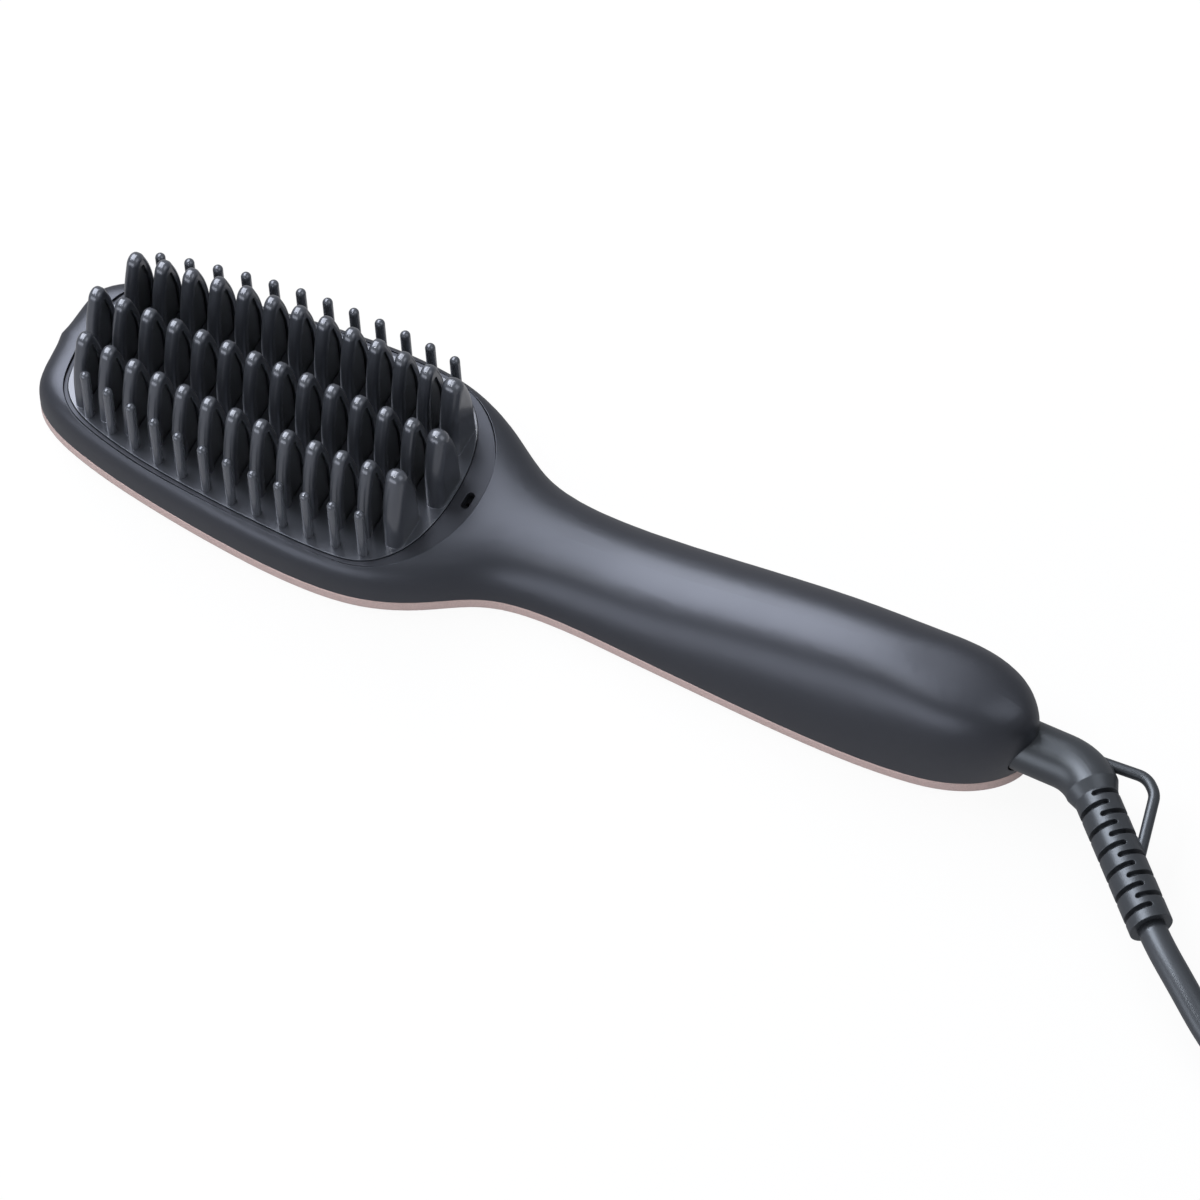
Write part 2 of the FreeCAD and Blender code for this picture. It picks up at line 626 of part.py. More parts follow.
def rim_edges(solid, thick):
    """Edges of an arch on its two faces, apart from its foot."""
    found = []
    for face_x in (-thick / 2, thick / 2):
        for edge in solid.Edges:
            if not all(abs(v.X - face_x) < NEAR for v in edge.Vertexes):
                continue
            if max(v.Z for v in edge.Vertexes) > 0:
                found.append(edge)
    return found


WINDOW_HEIGHT = FIN_HEIGHT - FIN_RIM * FIN_RIM_TIP_SHARE
WINDOW_SIZE = (FIN_WIDTH - 2 * FIN_RIM, WINDOW_HEIGHT, FIN_TIP_RADIUS / 2, FIN_SHOULDER_RADIUS / 2)
BLADE_SIZE = (
    WINDOW_SIZE[0] - 2 * BLADE_GAP, WINDOW_SIZE[1] - BLADE_GAP, WINDOW_SIZE[2], WINDOW_SIZE[3])


def open_fin():
    """An arch frame with rounded limbs and a window for its blade."""
    fin = arch(FIN_WIDTH, FIN_HEIGHT, FIN_TIP_RADIUS, FIN_SHOULDER_RADIUS, FIN_THICK, FIN_ROOT)
    fin = fin.makeFillet(FIN_ROUND, rim_edges(fin, FIN_THICK))
    return fin.cut(arch(*WINDOW_SIZE, FIN_THICK + 2 * OVERRUN, 0))


def closed_fin():
    """The last fin of a row: a solid leaf with its faces rounded off."""
    leaf = arch(FIN_WIDTH, FIN_HEIGHT, FIN_TIP_RADIUS, FIN_SHOULDER_RADIUS, CLOSED_FIN_THICK, FIN_ROOT)
    return leaf.makeFillet(CLOSED_FIN_ROUND, rim_edges(leaf, CLOSED_FIN_THICK))


def bowed(share, bow):
    """Spread of a bowed row at a share of its length: start, place of the peak, peak and end."""
    start, middle, peak, end = bow
    a = start * (share - middle) * (share - 1) / middle
    b = peak * share * (share - 1) / (middle * (middle - 1))
    c = end * share * (share - middle) / (1 - middle)
    return a + b + c


def fin_places():
    """Where each fin stands, and whether it is a closed one."""
    places = []
    for i in range(MIDDLE_FINS):
        places.append((PLATE_TIP + MIDDLE_START + i * FIN_PITCH, 0, i == MIDDLE_FINS - 1))
    for i in range(SIDE_FINS):
        x = PLATE_TIP + MIDDLE_START + i * FIN_PITCH + FIN_PITCH / 2
        y = SIDE_SPREAD * bowed(i / (SIDE_FINS - 1), SIDE_BOW_SHARES)
        places.append((x, y, i == SIDE_FINS - 1))
        places.append((x, -y, i == SIDE_FINS - 1))
    return places


def pin_places():
    places = []
    for i in range(PIN_COUNT):
        x = PLATE_TIP + PIN_START + i * PIN_PITCH
        y = PIN_SPREAD * bowed(i / (PIN_COUNT - 1), PIN_BOW_SHARES)
        places.append((x, y))
        places.append((x, -y))
    return places


def fin_height(x):
    """Height that a fin stands on: the comb falls a little towards the tip."""
    share = max(0, 1 - (x - PLATE_TIP) / TIP_DROP_REACH)
    return PLATE_TOP - TIP_DROP * share


FINS = fin_places()
PINS = pin_places()
POSTS = [
    (x, y * POST_SPREAD)
    for x in (STACK_X + POST_MARGIN, STACK_X + STRIP_LENGTH - POST_MARGIN)
    for y in (-1, 1)
]


def moved(shape, x, y, z):
    copy = shape.copy()
    copy.translate(Vec(x, y, z))
    return copy


def comb_cover():
    """Plate with three rows of arch fins, slots for the blades, seats for the pins and screw posts."""
    plate = slab(inset(PLATE_HALF, FIT), POCKET_FLOOR, PLATE_TOP)
    frame = open_fin()
    leaf = closed_fin()
    fins = [moved(leaf if shut else frame, x, y, fin_height(x)) for x, y, shut in FINS]
    posts = [post(POST_RADIUS, x, y, TRAY_TOP, PLATE_TOP - PLATE_THICK / 2) for x, y in POSTS]
    comb = plate.multiFuse(fins + posts)
    slot_size = (BLADE_THICK + 2 * BLADE_GAP, WINDOW_SIZE[0], PLATE_THICK + 2 * FIN_ROOT)
    slots = [block(x, y, POCKET_FLOOR - FIN_ROOT, slot_size) for x, y, shut in FINS if not shut]
    seats = [post(PIN_RADIUS, x, y, PLATE_TOP - PIN_SEAT, PLATE_TOP + PIN_SEAT) for x, y in PINS]
    holes = [post(SCREW_RADIUS + RUNNING, x, y, TRAY_TOP - OVERRUN, TRAY_TOP + SCREW_GRIP) for x, y in POSTS]
    return comb.cut(Part.Compound(slots + seats + holes))


def edge_pins():
    """Slim pins with round tips, set in the plate."""
    pins = []
    for x, y in PINS:
        straight = PLATE_TOP + PIN_HEIGHT - PIN_RADIUS
        pin = post(PIN_RADIUS, x, y, PLATE_TOP - PIN_SEAT, straight)
        pins.append(pin.fuse(Part.makeSphere(PIN_RADIUS, Vec(x, y, straight))).removeSplitter())
    return Part.Compound(pins)


def heater_plate():
    """Aluminium plate whose blades stand up through the comb plate into the arches."""
    base = slab(inset(PLATE_HALF, HEATER_MARGIN), HEATER_UNDER, POCKET_FLOOR)
    blade = arch(*BLADE_SIZE, BLADE_THICK, PLATE_THICK + HEATER_THICK / 2)
    blades = [moved(blade, x, y, fin_height(x)) for x, y, shut in FINS if not shut]
    plate = base.multiFuse(blades)
    holes = [post(POST_RADIUS + POST_GAP, x, y, HEATER_UNDER - OVERRUN, POCKET_FLOOR) for x, y in POSTS]
    return plate.cut(Part.Compound(holes))


def heater_strips():
    """Two ceramic heater strips under the plate."""
    size = (STRIP_LENGTH, STRIP_WIDTH, STRIP_THICK)
    return Part.Compound([
        block(STACK_X + STRIP_LENGTH / 2, y * STRIP_SPREAD, STRIP_UNDER, size) for y in (-1, 1)])


def stack_sheet(base, thick, border):
    """A flat sheet under the strips, holed for the posts."""
    width = 2 * STRIP_SPREAD + STRIP_WIDTH + 2 * border
    sheet = block(STACK_X + STRIP_LENGTH / 2, 0, base, (STRIP_LENGTH + 2 * border, width, thick))
    sheet = sheet.makeFillet(border, edges_along(sheet, AXIS_Z))
    holes = [post(POST_RADIUS + POST_GAP, x, y, base - OVERRUN, base + OVERRUN) for x, y in POSTS]
    return sheet.cut(Part.Compound(holes))


def heater_tray():
    """Heat resistant tray that presses the stack up against the comb plate."""
    width = 2 * STRIP_SPREAD + STRIP_WIDTH - STACK_BORDER
    centre = STACK_X + STRIP_LENGTH / 2
    tray = block(centre, 0, TRAY_UNDER, (STRIP_LENGTH + 2 * TRAY_BORDER, width, TRAY_THICK))
    tray = tray.makeFillet(TRAY_ROUND, edges_along(tray, AXIS_Z))
    rib = (STRIP_LENGTH, TRAY_RIB, TRAY_GAP + TRAY_THICK / 2)
    for y in (-1, 1):
        tray = tray.fuse(block(centre, y * STRIP_SPREAD, TRAY_UNDER + TRAY_THICK / 2, rib))
    holes = [post(SCREW_RADIUS + SCREW_PASS, x, y, TRAY_UNDER - OVERRUN, TRAY_TOP) for x, y in POSTS]
    return tray.cut(Part.Compound(holes))


def tray_screws():
    base = TRAY_UNDER - SCREW_HEAD
    tip = TRAY_TOP + SCREW_GRIP - FIT
    return Part.Compound([
        screw(x, y, base, SCREW_HEAD, SCREW_HEAD_RADIUS, SCREW_RADIUS, tip) for x, y in POSTS])


def thermal_fuse():
    """Fuse across the plate, with a lead at each end."""
    x = STACK_X + STRIP_LENGTH + FUSE_SETBACK
    z = HEATER_UNDER - FUSE_RADIUS - RUNNING
    half = FUSE_LENGTH / 2
    fuse = rod(FUSE_RADIUS, Vec(x, -half, z), Vec(x, half, z))
    reach = half + FUSE_LEAD_LENGTH
    return fuse.fuse(rod(FUSE_LEAD, Vec(x, -reach, z), Vec(x, reach, z)))


def thermistor():
    x = STACK_X + STRIP_LENGTH + FUSE_SETBACK
    z = HEATER_UNDER - THERMISTOR_RADIUS - RUNNING
    start = Vec(x, THERMISTOR_SPREAD, z)
    bead = rod(THERMISTOR_RADIUS, start, start.add(Vec(0, THERMISTOR_LENGTH, 0)))
    return bead.fuse(Part.makeSphere(THERMISTOR_RADIUS, start.add(Vec(0, THERMISTOR_LENGTH, 0))))


def ion_emitter():
    """Holder of the ion needle, pushed up into the ledge under the outlet."""
    base = LEDGE_UNDER - EMITTER_FLANGE_THICK
    holder = post(EMITTER_FLANGE, OUTLET_X, 0, base, LEDGE_UNDER)
    holder = holder.fuse(post(EMITTER_RADIUS, OUTLET_X, 0, base, POCKET_FLOOR))
    return holder.cut(post(NEEDLE_RADIUS, OUTLET_X, 0, base - OVERRUN, POCKET_FLOOR + OVERRUN))


def ion_needle():
    base = LEDGE_UNDER - EMITTER_FLANGE_THICK - NEEDLE_TAIL
    straight = POCKET_FLOOR
    needle = post(NEEDLE_RADIUS, OUTLET_X, 0, base, straight)
    point = Part.makeCone(NEEDLE_RADIUS, 0, 2 * NEEDLE_RADIUS, Vec(OUTLET_X, 0, straight))
    return needle.fuse(point)


def control_board():
    centre = BOARD_X + BOARD_LENGTH / 2
    board = block(centre, 0, BOARD_HEIGHT, (BOARD_LENGTH, BOARD_WIDTH, BOARD_THICK))
    below = BOARD_HEIGHT - OVERRUN
    holes = [post(SCREW_RADIUS + FIT, x, y, below, BOARD_TOP + OVERRUN) for x, y in BOARD_POSTS]
    return board.cut(Part.Compound(holes))


def board_screws():
    base = BOARD_HEIGHT - SCREW_HEAD
    tip = BOARD_TOP + SCREW_GRIP / 2 - FIT
    return Part.Compound([
        screw(x, y, base, SCREW_HEAD, SCREW_HEAD_RADIUS, SCREW_RADIUS, tip) for x, y in BOARD_POSTS])


BUTTON_TOP = COVER_FLOOR + RUNNING + BUTTON_FLANGE_THICK
SWITCH_UNDER = BOARD_HEIGHT - SWITCH_THICK
PLUNGER_UNDER = SWITCH_UNDER - BUTTON_TRAVEL - FIT


def tact_switches():
    """A push switch under the board behind each button."""
    switches = []
    for start in BUTTON_STARTS:
        x = NECK + start
        body = block(x, 0, SWITCH_UNDER, (SWITCH_SIZE, SWITCH_SIZE, SWITCH_THICK))
        switches.append(body.fuse(post(SWITCH_PLUNGER, x, 0, PLUNGER_UNDER, SWITCH_UNDER)))
    return Part.Compound(switches)


def button(start):
    """A round dished cap with a flange behind the cover and a stem to its switch."""
    x = NECK + start
    cap = post(BUTTON_RADIUS, x, 0, BUTTON_SINK, BUTTON_TOP)
    cap = cap.makeFillet(BUTTON_ROUND, edges_at(cap, BUTTON_SINK))
    cap = cap.fuse(post(BUTTON_RADIUS + BUTTON_FLANGE, x, 0, COVER_FLOOR + RUNNING, BUTTON_TOP))
    cap = cap.fuse(post(BUTTON_STEM, x, 0, BUTTON_TOP, PLUNGER_UNDER - BUTTON_TRAVEL - RUNNING))
    half = BUTTON_RADIUS - 2 * BUTTON_ROUND
    radius = (half * half + BUTTON_DISH * BUTTON_DISH) / (2 * BUTTON_DISH)
    return cap.cut(Part.makeSphere(radius, Vec(x, 0, BUTTON_SINK + BUTTON_DISH - radius)))


def indicator_leds():
    x = NECK + WINDOW_START
    size = (LED_LENGTH, LED_WIDTH, LED_THICK)
    first = -(LED_COUNT - 1) / 2
    return Part.Compound([
        block(x + (first + i) * LED_PITCH, 0, BOARD_HEIGHT - LED_THICK, size) for i in range(LED_COUNT)])


def light_guide():
    """Clear bar in the back's window, with a leg up to each lamp."""
    x = NECK + WINDOW_START
    bar = oval(x, WINDOW_LENGTH, WINDOW_WIDTH, WINDOW_SINK, COVER_FLOOR)
    flange = oval(x, WINDOW_LENGTH + 2 * WINDOW_FLANGE, WINDOW_WIDTH + 2 * WINDOW_FLANGE,
                  COVER_FLOOR, COVER_FLOOR + WINDOW_FLANGE)
    guide = bar.fuse(flange)
    first = -(LED_COUNT - 1) / 2
    for i in range(LED_COUNT):
        leg_x = x + (first + i) * LED_PITCH
        guide = guide.fuse(post(WINDOW_WIDTH / 2, leg_x, 0, COVER_FLOOR, BOARD_HEIGHT - LED_THICK - FIT))
    return guide


def ion_module():
    """Potted high voltage box on the board."""
    crown = NECK_HEIGHT + ION_BOX_ROOM_SHARE * (HANDLE_HEIGHT - NECK_HEIGHT)
    height = crown - WALL - ION_BOX_CLEARANCE - BOARD_TOP
    size = (ION_BOX_LENGTH, ION_BOX_WIDTH, height)
    shape = block(BOARD_X + ION_BOX_START + ION_BOX_LENGTH / 2, 0, BOARD_TOP, size)
    upper = [e for e in shape.Edges if max(v.Z for v in e.Vertexes) > BOARD_TOP]
    return shape.makeFillet(ION_BOX_ROUND, upper)


def board_components():
    """Capacitor and power switch block on the front of the board."""
    z = BOARD_TOP + CAPACITOR_RADIUS + RUNNING
    start = Vec(BOARD_X + CAPACITOR_START, CAPACITOR_SPREAD, z)
    can = rod(CAPACITOR_RADIUS, start, start.add(Vec(CAPACITOR_LENGTH, 0, 0)))
    can = can.makeFillet(BUTTON_ROUND, can.Edges)
    triac = block(BOARD_X + TRIAC_START + TRIAC_BLOCK[0] / 2, -CAPACITOR_SPREAD, BOARD_TOP, TRIAC_BLOCK)
    return Part.Compound([can, triac])


def case_screws():
    tip = PARTING + CASE_GRIP - FIT
    return Part.Compound([
        screw(x, y, CASE_SINK, CASE_HEAD, CASE_HEAD_RADIUS, CASE_SCREW_RADIUS, tip) for x, y in CASE_SCREWS])


def on_axis(radius, start, end):
    """A round bar on the swivel's axis."""
    return rod(radius, Vec(start, 0, SWIVEL_HEIGHT), Vec(end, 0, SWIVEL_HEIGHT))


def swivel_bush():
    bush = on_axis(BUSH_RADIUS - RUNNING, BUSH_X, BUSH_X + BUSH_LENGTH)
    return bush.cut(on_axis(JOURNAL_RADIUS + RUNNING, BUSH_X - OVERRUN, STUB_X + OVERRUN))


def swivel_core():
    """Turning core: ring shaft, collar, journal and the spigot that the guard is moulded on."""
    collar = SHAFT_X + SHAFT_LENGTH
    core = on_axis(SHAFT_RADIUS, SHAFT_X, collar)
    core = core.fuse(on_axis(COLLAR_RADIUS, collar, collar + COLLAR_THICK))
    core = core.fuse(on_axis(JOURNAL_RADIUS, collar + COLLAR_THICK, STUB_X))
    return core.fuse(on_axis(SPIGOT_RADIUS, STUB_X, STUB_X + SPIGOT_LENGTH))


def contact_rings():
    rings = []
    for radius, start in zip(RING_RADII, RING_STARTS):
        x = SHAFT_X + start
        shaft = on_axis(SHAFT_RADIUS, x - OVERRUN, x + OVERRUN + RING_WIDTH)
        rings.append(on_axis(radius, x, x + RING_WIDTH).cut(shaft))
    return Part.Compound(rings)


def contact_springs():
    """Two leaves soldered to the end of the board, one on each ring."""
    leaves = []
    board_end = BOARD_X + BOARD_LENGTH
    for side, radius, start in zip((1, -1), RING_RADII, RING_STARTS):
        inner = side * (radius + SPRING_CONTACT)
        outer = inner + side * SPRING_THICK
        low = Vec(board_end - SPRING_SEAT, min(inner, outer), BOARD_TOP)
        high = Vec(SHAFT_X + start + RING_WIDTH + SPRING_PAST, max(inner, outer), BOARD_TOP + SPRING_HEIGHT)
        leaves.append(box(low, high))
    return Part.Compound(leaves)


def rounded_path(points, radii):
    """Straight runs joined by tangent arcs of given radii."""
    edges = []
    at = points[0]
    for before, corner, after, radius in zip(points, points[1:], points[2:], radii):
        back = before.sub(corner).normalize()
        ahead = after.sub(corner).normalize()
        half = back.getAngle(ahead) / 2
        cut = radius / math.tan(half)
        start = corner.add(Vec(back).multiply(cut))
        end = corner.add(Vec(ahead).multiply(cut))
        bisector = back.add(ahead).normalize()
        crown = corner.add(bisector.multiply(radius / math.sin(half) - radius))
        edges.append(Part.LineSegment(at, start).toShape())
        edges.append(Part.Arc(start, crown, end).toShape())
        at = end
    edges.append(Part.LineSegment(at, points[-1]).toShape())
    return Part.Wire(edges)


def sweep(path, radius):
    """A round tube along a path."""
    first = path.OrderedEdges[0]
    start = first.valueAt(first.FirstParameter)
    way = first.tangentAt(first.FirstParameter)
    if first.Orientation == "Reversed":
        start = first.valueAt(first.LastParameter)
        way = first.tangentAt(first.LastParameter).multiply(-1)
    ring = Part.Wire(Part.Circle(start, way, radius).toShape())
    return path.makePipeShell([ring], True, False)


def cord_radii(points):
    """Largest even arcs that a cord's runs allow."""
    radii = []
    for before, corner, after in zip(points, points[1:], points[2:]):
        back = before.sub(corner)
        ahead = after.sub(corner)
        half_turn = (math.pi - back.getAngle(ahead)) / 2
        radii.append(BEND_SHARE * min(back.Length, ahead.Length) / math.tan(half_turn))
    print("cord radii", [round(r, 1) for r in radii])
    return radii


def relief_point(along, out):
    return CORNER.add(Vec(ALONG).multiply(along)).add(Vec(OUTWARD).multiply(out))


def cord_guard():
    """Stub and elbow, a relief with slots from both sides in turn, and the hang loop."""
    bend = ELBOW_CURVE * math.tan(TURN / 2)
    path = rounded_path(
        [Vec(STUB_X, 0, SWIVEL_HEIGHT), CORNER, relief_point(bend + RELIEF_TAPER, 0)], [ELBOW_CURVE])
    elbow = Part.Wire(path.OrderedEdges[:2])
    guard = sweep(elbow, STUB_RADIUS)
    taper = Part.makeCone(STUB_RADIUS, RELIEF_RADIUS, RELIEF_TAPER, relief_point(bend, 0), ALONG)
    relief = rod(RELIEF_RADIUS, relief_point(bend + RELIEF_TAPER, 0), relief_point(RELIEF_REACH, 0))
    guard = guard.fuse([taper, relief])
    slots = []
    reach = RELIEF_RADIUS + OVERRUN
    for i in range(SLOT_COUNT):
        start = SLOT_START + i * SLOT_PITCH
        one = relief_point(start, 0)
        other = relief_point(start + SLOT_WIDTH, 0)
        ring = rod(reach, one, other).cut(rod(RELIEF_RADIUS - SLOT_DEPTH, one, other))
        round_end = SLOT_WIDTH / 2
        end = round_end - SLOT_PAST
        keep = Part.makeBox(SLOT_WIDTH, reach - end, 2 * reach, Vec(0, end, -reach))
        keep = keep.fuse(Part.makeCylinder(round_end, 2 * reach, Vec(round_end, end, -reach)))
        if i % 2:
            keep = keep.mirror(Vec(0, 0, 0), AXIS_Y)
        keep.rotate(Vec(0, 0, 0), AXIS_Z, -ELBOW_BEND)
        keep.translate(one)
        slots.append(ring.common(keep))
    guard = guard.cut(Part.Compound(slots))
    corners = [relief_point(*p) for p in (LOOP_FOOT, LOOP_HEEL, LOOP_TOE, LOOP_END)]
    loop = sweep(rounded_path(corners, [LOOP_CURVE, LOOP_CURVE]), LOOP_ROD)
    spigot = on_axis(SPIGOT_RADIUS + RUNNING, STUB_X - OVERRUN, STUB_X + SPIGOT_LENGTH + RUNNING)
    return guard.fuse(loop).cut(spigot)


# Coil of the length that is put away: in on the lower layer, out on the upper one
CORD_EXIT = relief_point(RELIEF_REACH, 0)
LOWER = CORD_RADIUS + TIE_THICK + TIE_GAP
UPPER = LOWER + COIL_PITCH
COIL_SWEEP = TURN_DEGREES * COIL_TURNS + COIL_EXIT - COIL_ENTRY
COIL_OUTER = COIL_INNER + COIL_PITCH * COIL_SWEEP / TURN_DEGREES / 2


def coil_point(turned):
    """Place and heading after a number of degrees of coil."""
    from_reversal = turned - COIL_SWEEP / 2
    rate = COIL_PITCH / TURN_DEGREES
    radius = COIL_INNER + rate * abs(from_reversal)
    climbed = min(max((from_reversal + CLIMB / 2) / CLIMB, 0), 1)
    angle = math.radians(COIL_ENTRY + turned)
    out = Vec(math.cos(angle), math.sin(angle), 0)
    round_way = Vec(-math.sin(angle), math.cos(angle), 0)
    height = LOWER + climbed * climbed * (3 - 2 * climbed) * (UPPER - LOWER)
    place = Vec(COIL_CENTRE[0], COIL_CENTRE[1], height).add(Vec(out).multiply(radius))
    rise = 6 * climbed * (1 - climbed) / CLIMB * (UPPER - LOWER)
    heading = Vec(round_way).multiply(math.radians(radius)).add(Vec(0, 0, rise))
    return place, heading.normalize()


def biarc(start, start_way, end, end_way):
    """Two tangent arcs between two places with given headings."""
    run = end.sub(start)
    both = start_way.add(end_way)
    a = 2 * (start_way.dot(end_way) - 1)
    b = -2 * run.dot(both)
    c = run.dot(run)
    reach = 2 * c / (-b + math.sqrt(b * b - 4 * a * c))
    first = start.add(Vec(start_way).multiply(reach))
    second = end.sub(Vec(end_way).multiply(reach))
    joint = first.add(second).multiply(1 / 2)
    arcs = []
    for p, corner, q in ((start, first, joint), (joint, second, end)):
        middle = p.add(q).multiply(1 / 2)
        half = q.sub(p).Length / 2
        sagitta = half * math.tan(math.acos(min(1, half / reach)) / 2)
        arcs.append(Part.Arc(p, middle.add(corner.sub(middle).normalize().multiply(sagitta)), q).toShape())
    return arcs


def coil_path():
    steps = math.ceil(COIL_SWEEP / COIL_STEP)
    marks = [coil_point(COIL_SWEEP * i / steps) for i in range(steps + 1)]
    start, way = marks[0]
    end, end_way = marks[-1]
    edges = [Part.LineSegment(start.sub(Vec(way).multiply(2 * CORD_RADIUS)), start).toShape()]
    for (p, p_way), (q, q_way) in zip(marks, marks[1:]):
        edges += biarc(p, p_way, q, q_way)
    edges.append(Part.LineSegment(end, end.add(Vec(end_way).multiply(2 * CORD_RADIUS))).toShape())
    return Part.Wire(edges)


def least_gap(path):
    """Smallest clear distance between turns of a wound tube, measured on points of its line."""
    points = path.discretize(Number=COIL_CHECKS * math.ceil(COIL_SWEEP / COIL_STEP))
    apart = math.ceil(len(points) * CLIMB / COIL_SWEEP)
    gaps = [
        points[i].sub(points[j]).Length
        for i in range(len(points)) for j in range(i + apart, len(points))]
    return min(gaps) - 2 * CORD_RADIUS


def cord_lead():
    """Free stretch from the guard to the coil."""
    start, way = coil_point(0)
    end = start.sub(Vec(way).multiply(2 * CORD_RADIUS))
    points = [CORD_EXIT, relief_point(RELIEF_REACH + CORD_FIRST_RUN, 0)]
    points += [Vec(*p) for p in CORD_POINTS]
    points += [end.sub(Vec(way).multiply(CORD_LAST_RUN)), end]
    return points


def plug_rear():
    """Middle of the plug's rear face, where the cord's tail goes in."""
    end, way = coil_point(COIL_SWEEP)
    reach = 2 * CORD_RADIUS + 2 * TAIL_RUN + TAIL_DROP
    return Vec(end.x + PLUG_WAY * reach, end.y, PLUG_THICK / 2)


def cord_tail():
    """Free stretch from the coil down to the plug."""
    end, way = coil_point(COIL_SWEEP)
    start = end.add(Vec(way).multiply(2 * CORD_RADIUS))
    rear = plug_rear()
    return [
        start, Vec(start.x + PLUG_WAY * TAIL_RUN, start.y, start.z),
        Vec(rear.x - PLUG_WAY * TAIL_RUN, rear.y, rear.z), rear]


def tube_of(points):
    """A cord's tube, with its volume compared with its section times its length."""
    path = rounded_path(points, cord_radii(points))
    tube = sweep(path, CORD_RADIUS)
    ideal = math.pi * CORD_RADIUS * CORD_RADIUS * path.Length
    print("tube length", round(path.Length, 1), "volume ratio", round(tube.Volume / ideal, 4))
    return tube


def cord_coil():
    path = coil_path()
    tube = sweep(path, CORD_RADIUS)
    ideal = math.pi * CORD_RADIUS * CORD_RADIUS * path.Length
    print("coil length", round(path.Length, 1), "volume ratio", round(tube.Volume / ideal, 4))
    print("coil least gap", round(least_gap(path), 2), "outer radius", round(COIL_OUTER + CORD_RADIUS, 1))
    return tube


def cord_tie():
    """Strap round the coil's turns on the side towards the brush."""
    inner = COIL_INNER - CORD_RADIUS - TIE_GAP
    outer = COIL_OUTER + CORD_RADIUS + TIE_GAP
    x, y = COIL_CENTRE
    half = TIE_WIDTH / 2
    low = Vec(x - outer - TIE_THICK, y - half, LOWER - CORD_RADIUS - TIE_GAP - TIE_THICK)
    high = Vec(x - inner + TIE_THICK, y + half, UPPER + CORD_RADIUS + TIE_GAP + TIE_THICK)
    strap = box(low, high)
    strap = strap.makeFillet(TIE_ROUND, edges_along(strap, AXIS_Y))
    thick = Vec(TIE_THICK, 0, TIE_THICK)
    past = Vec(0, OVERRUN, 0)
    inside = box(low.add(thick).sub(past), high.sub(thick).add(past))
    inside = inside.makeFillet(TIE_ROUND - TIE_THICK, edges_along(inside, AXIS_Y))
    return strap.cut(inside)


def rounded_section(x, y, z, width, height, radius):
    """A rounded rectangle standing across X."""
    centre = Vec(x, y, z)
    w = width / 2 - radius
    h = height / 2 - radius
    edges = []
    for quarter, (cy, cz) in enumerate(((w, h), (-w, h), (-w, -h), (w, -h))):
        angles = [math.pi / 2 * quarter + math.pi / 4 * k for k in range(3)]
        arc = [centre.add(Vec(0, cy + radius * math.cos(t), cz + radius * math.sin(t))) for t in angles]
        edges.append(arc)
    lines = []
    for this, following in zip(edges, edges[1:] + edges[:1]):
        lines.append(Part.Arc(*this).toShape())
        lines.append(Part.LineSegment(this[-1], following[0]).toShape())
    return Part.Wire(lines)


def mains_plug():
    """Flat two pin plug lying beside the coil, waisted towards the cord."""
    rear = plug_rear()
    sizes = [
        (PLUG_REAR, PLUG_REAR), ((PLUG_WIDTH + PLUG_REAR) / 2, PLUG_THICK), (PLUG_WIDTH, PLUG_THICK)]
    wires = [
        rounded_section(rear.x + PLUG_WAY * share * PLUG_LENGTH, rear.y, rear.z, width, height, PLUG_ROUND)
        for share, (width, height) in zip(PLUG_WAIST_SHARES, sizes)]
    plug = Part.makeLoft(wires, True, True)
    return plug.cut(Part.Compound(plug_pin_list()))


def plug_pin_list():
    rear = plug_rear()
    front = rear.x + PLUG_WAY * PLUG_LENGTH
    seat = front - PLUG_WAY * PLUG_PIN_SEAT
    bare = front + PLUG_WAY * PLUG_PIN_SLEEVE
    end = front + PLUG_WAY * PLUG_PIN_LENGTH
    pins = []
    for side in (-1, 1):
        y = rear.y + side * PIN_SPACING / 2
        pin = rod(PLUG_PIN_RADIUS, Vec(bare, y, rear.z), Vec(end, y, rear.z))
        tip = [e for e in pin.Edges if e.Closed and all(abs(v.X - end) < NEAR for v in e.Vertexes)]
        pin = pin.makeFillet(PLUG_PIN_RADIUS / 2, tip)
        pins.append(pin.fuse(rod(PLUG_PIN_SLEEVE_RADIUS, Vec(seat, y, rear.z), Vec(bare, y, rear.z))))
    return pins


save("upper_shell", upper_shell())
save("rear_cover", rear_cover())
save("head_bezel", head_bezel())
save("comb_cover", comb_cover())
save("edge_pins", edge_pins())
save("heater_plate", heater_plate())
save("heater_strips", heater_strips())
save("mica_sheet", stack_sheet(MICA_UNDER, MICA_THICK, STACK_BORDER))
save("heater_clamp", stack_sheet(CLAMP_UNDER, CLAMP_THICK, STACK_BORDER / 2))
save("heater_tray", heater_tray())
save("tray_screws", tray_screws())
save("thermal_fuse", thermal_fuse())
save("thermistor", thermistor())
save("ion_emitter", ion_emitter())
save("ion_needle", ion_needle())
save("control_board", control_board())
save("board_screws", board_screws())
save("tact_switches", tact_switches())
save("power_button", button(BUTTON_STARTS[0]))
save("temperature_button", button(BUTTON_STARTS[1]))
save("indicator_leds", indicator_leds())
save("light_guide", light_guide())
save("ion_module", ion_module())
save("board_components", board_components())
save("case_screws", case_screws())
save("swivel_bush", swivel_bush())
save("swivel_core", swivel_core())
save("contact_rings", contact_rings())
save("contact_springs", contact_springs())
save("cord_guard", cord_guard())
save("power_cord", tube_of(cord_lead()))
save("cord_coil", cord_coil())
save("cord_tail", tube_of(cord_tail()))
save("cord_tie", cord_tie())
save("mains_plug", mains_plug())
save("plug_pins", Part.Compound(plug_pin_list()))
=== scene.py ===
import math

import bmesh
import bpy
from mathutils import Matrix, Vector
from mathutils.bvhtree import BVHTree


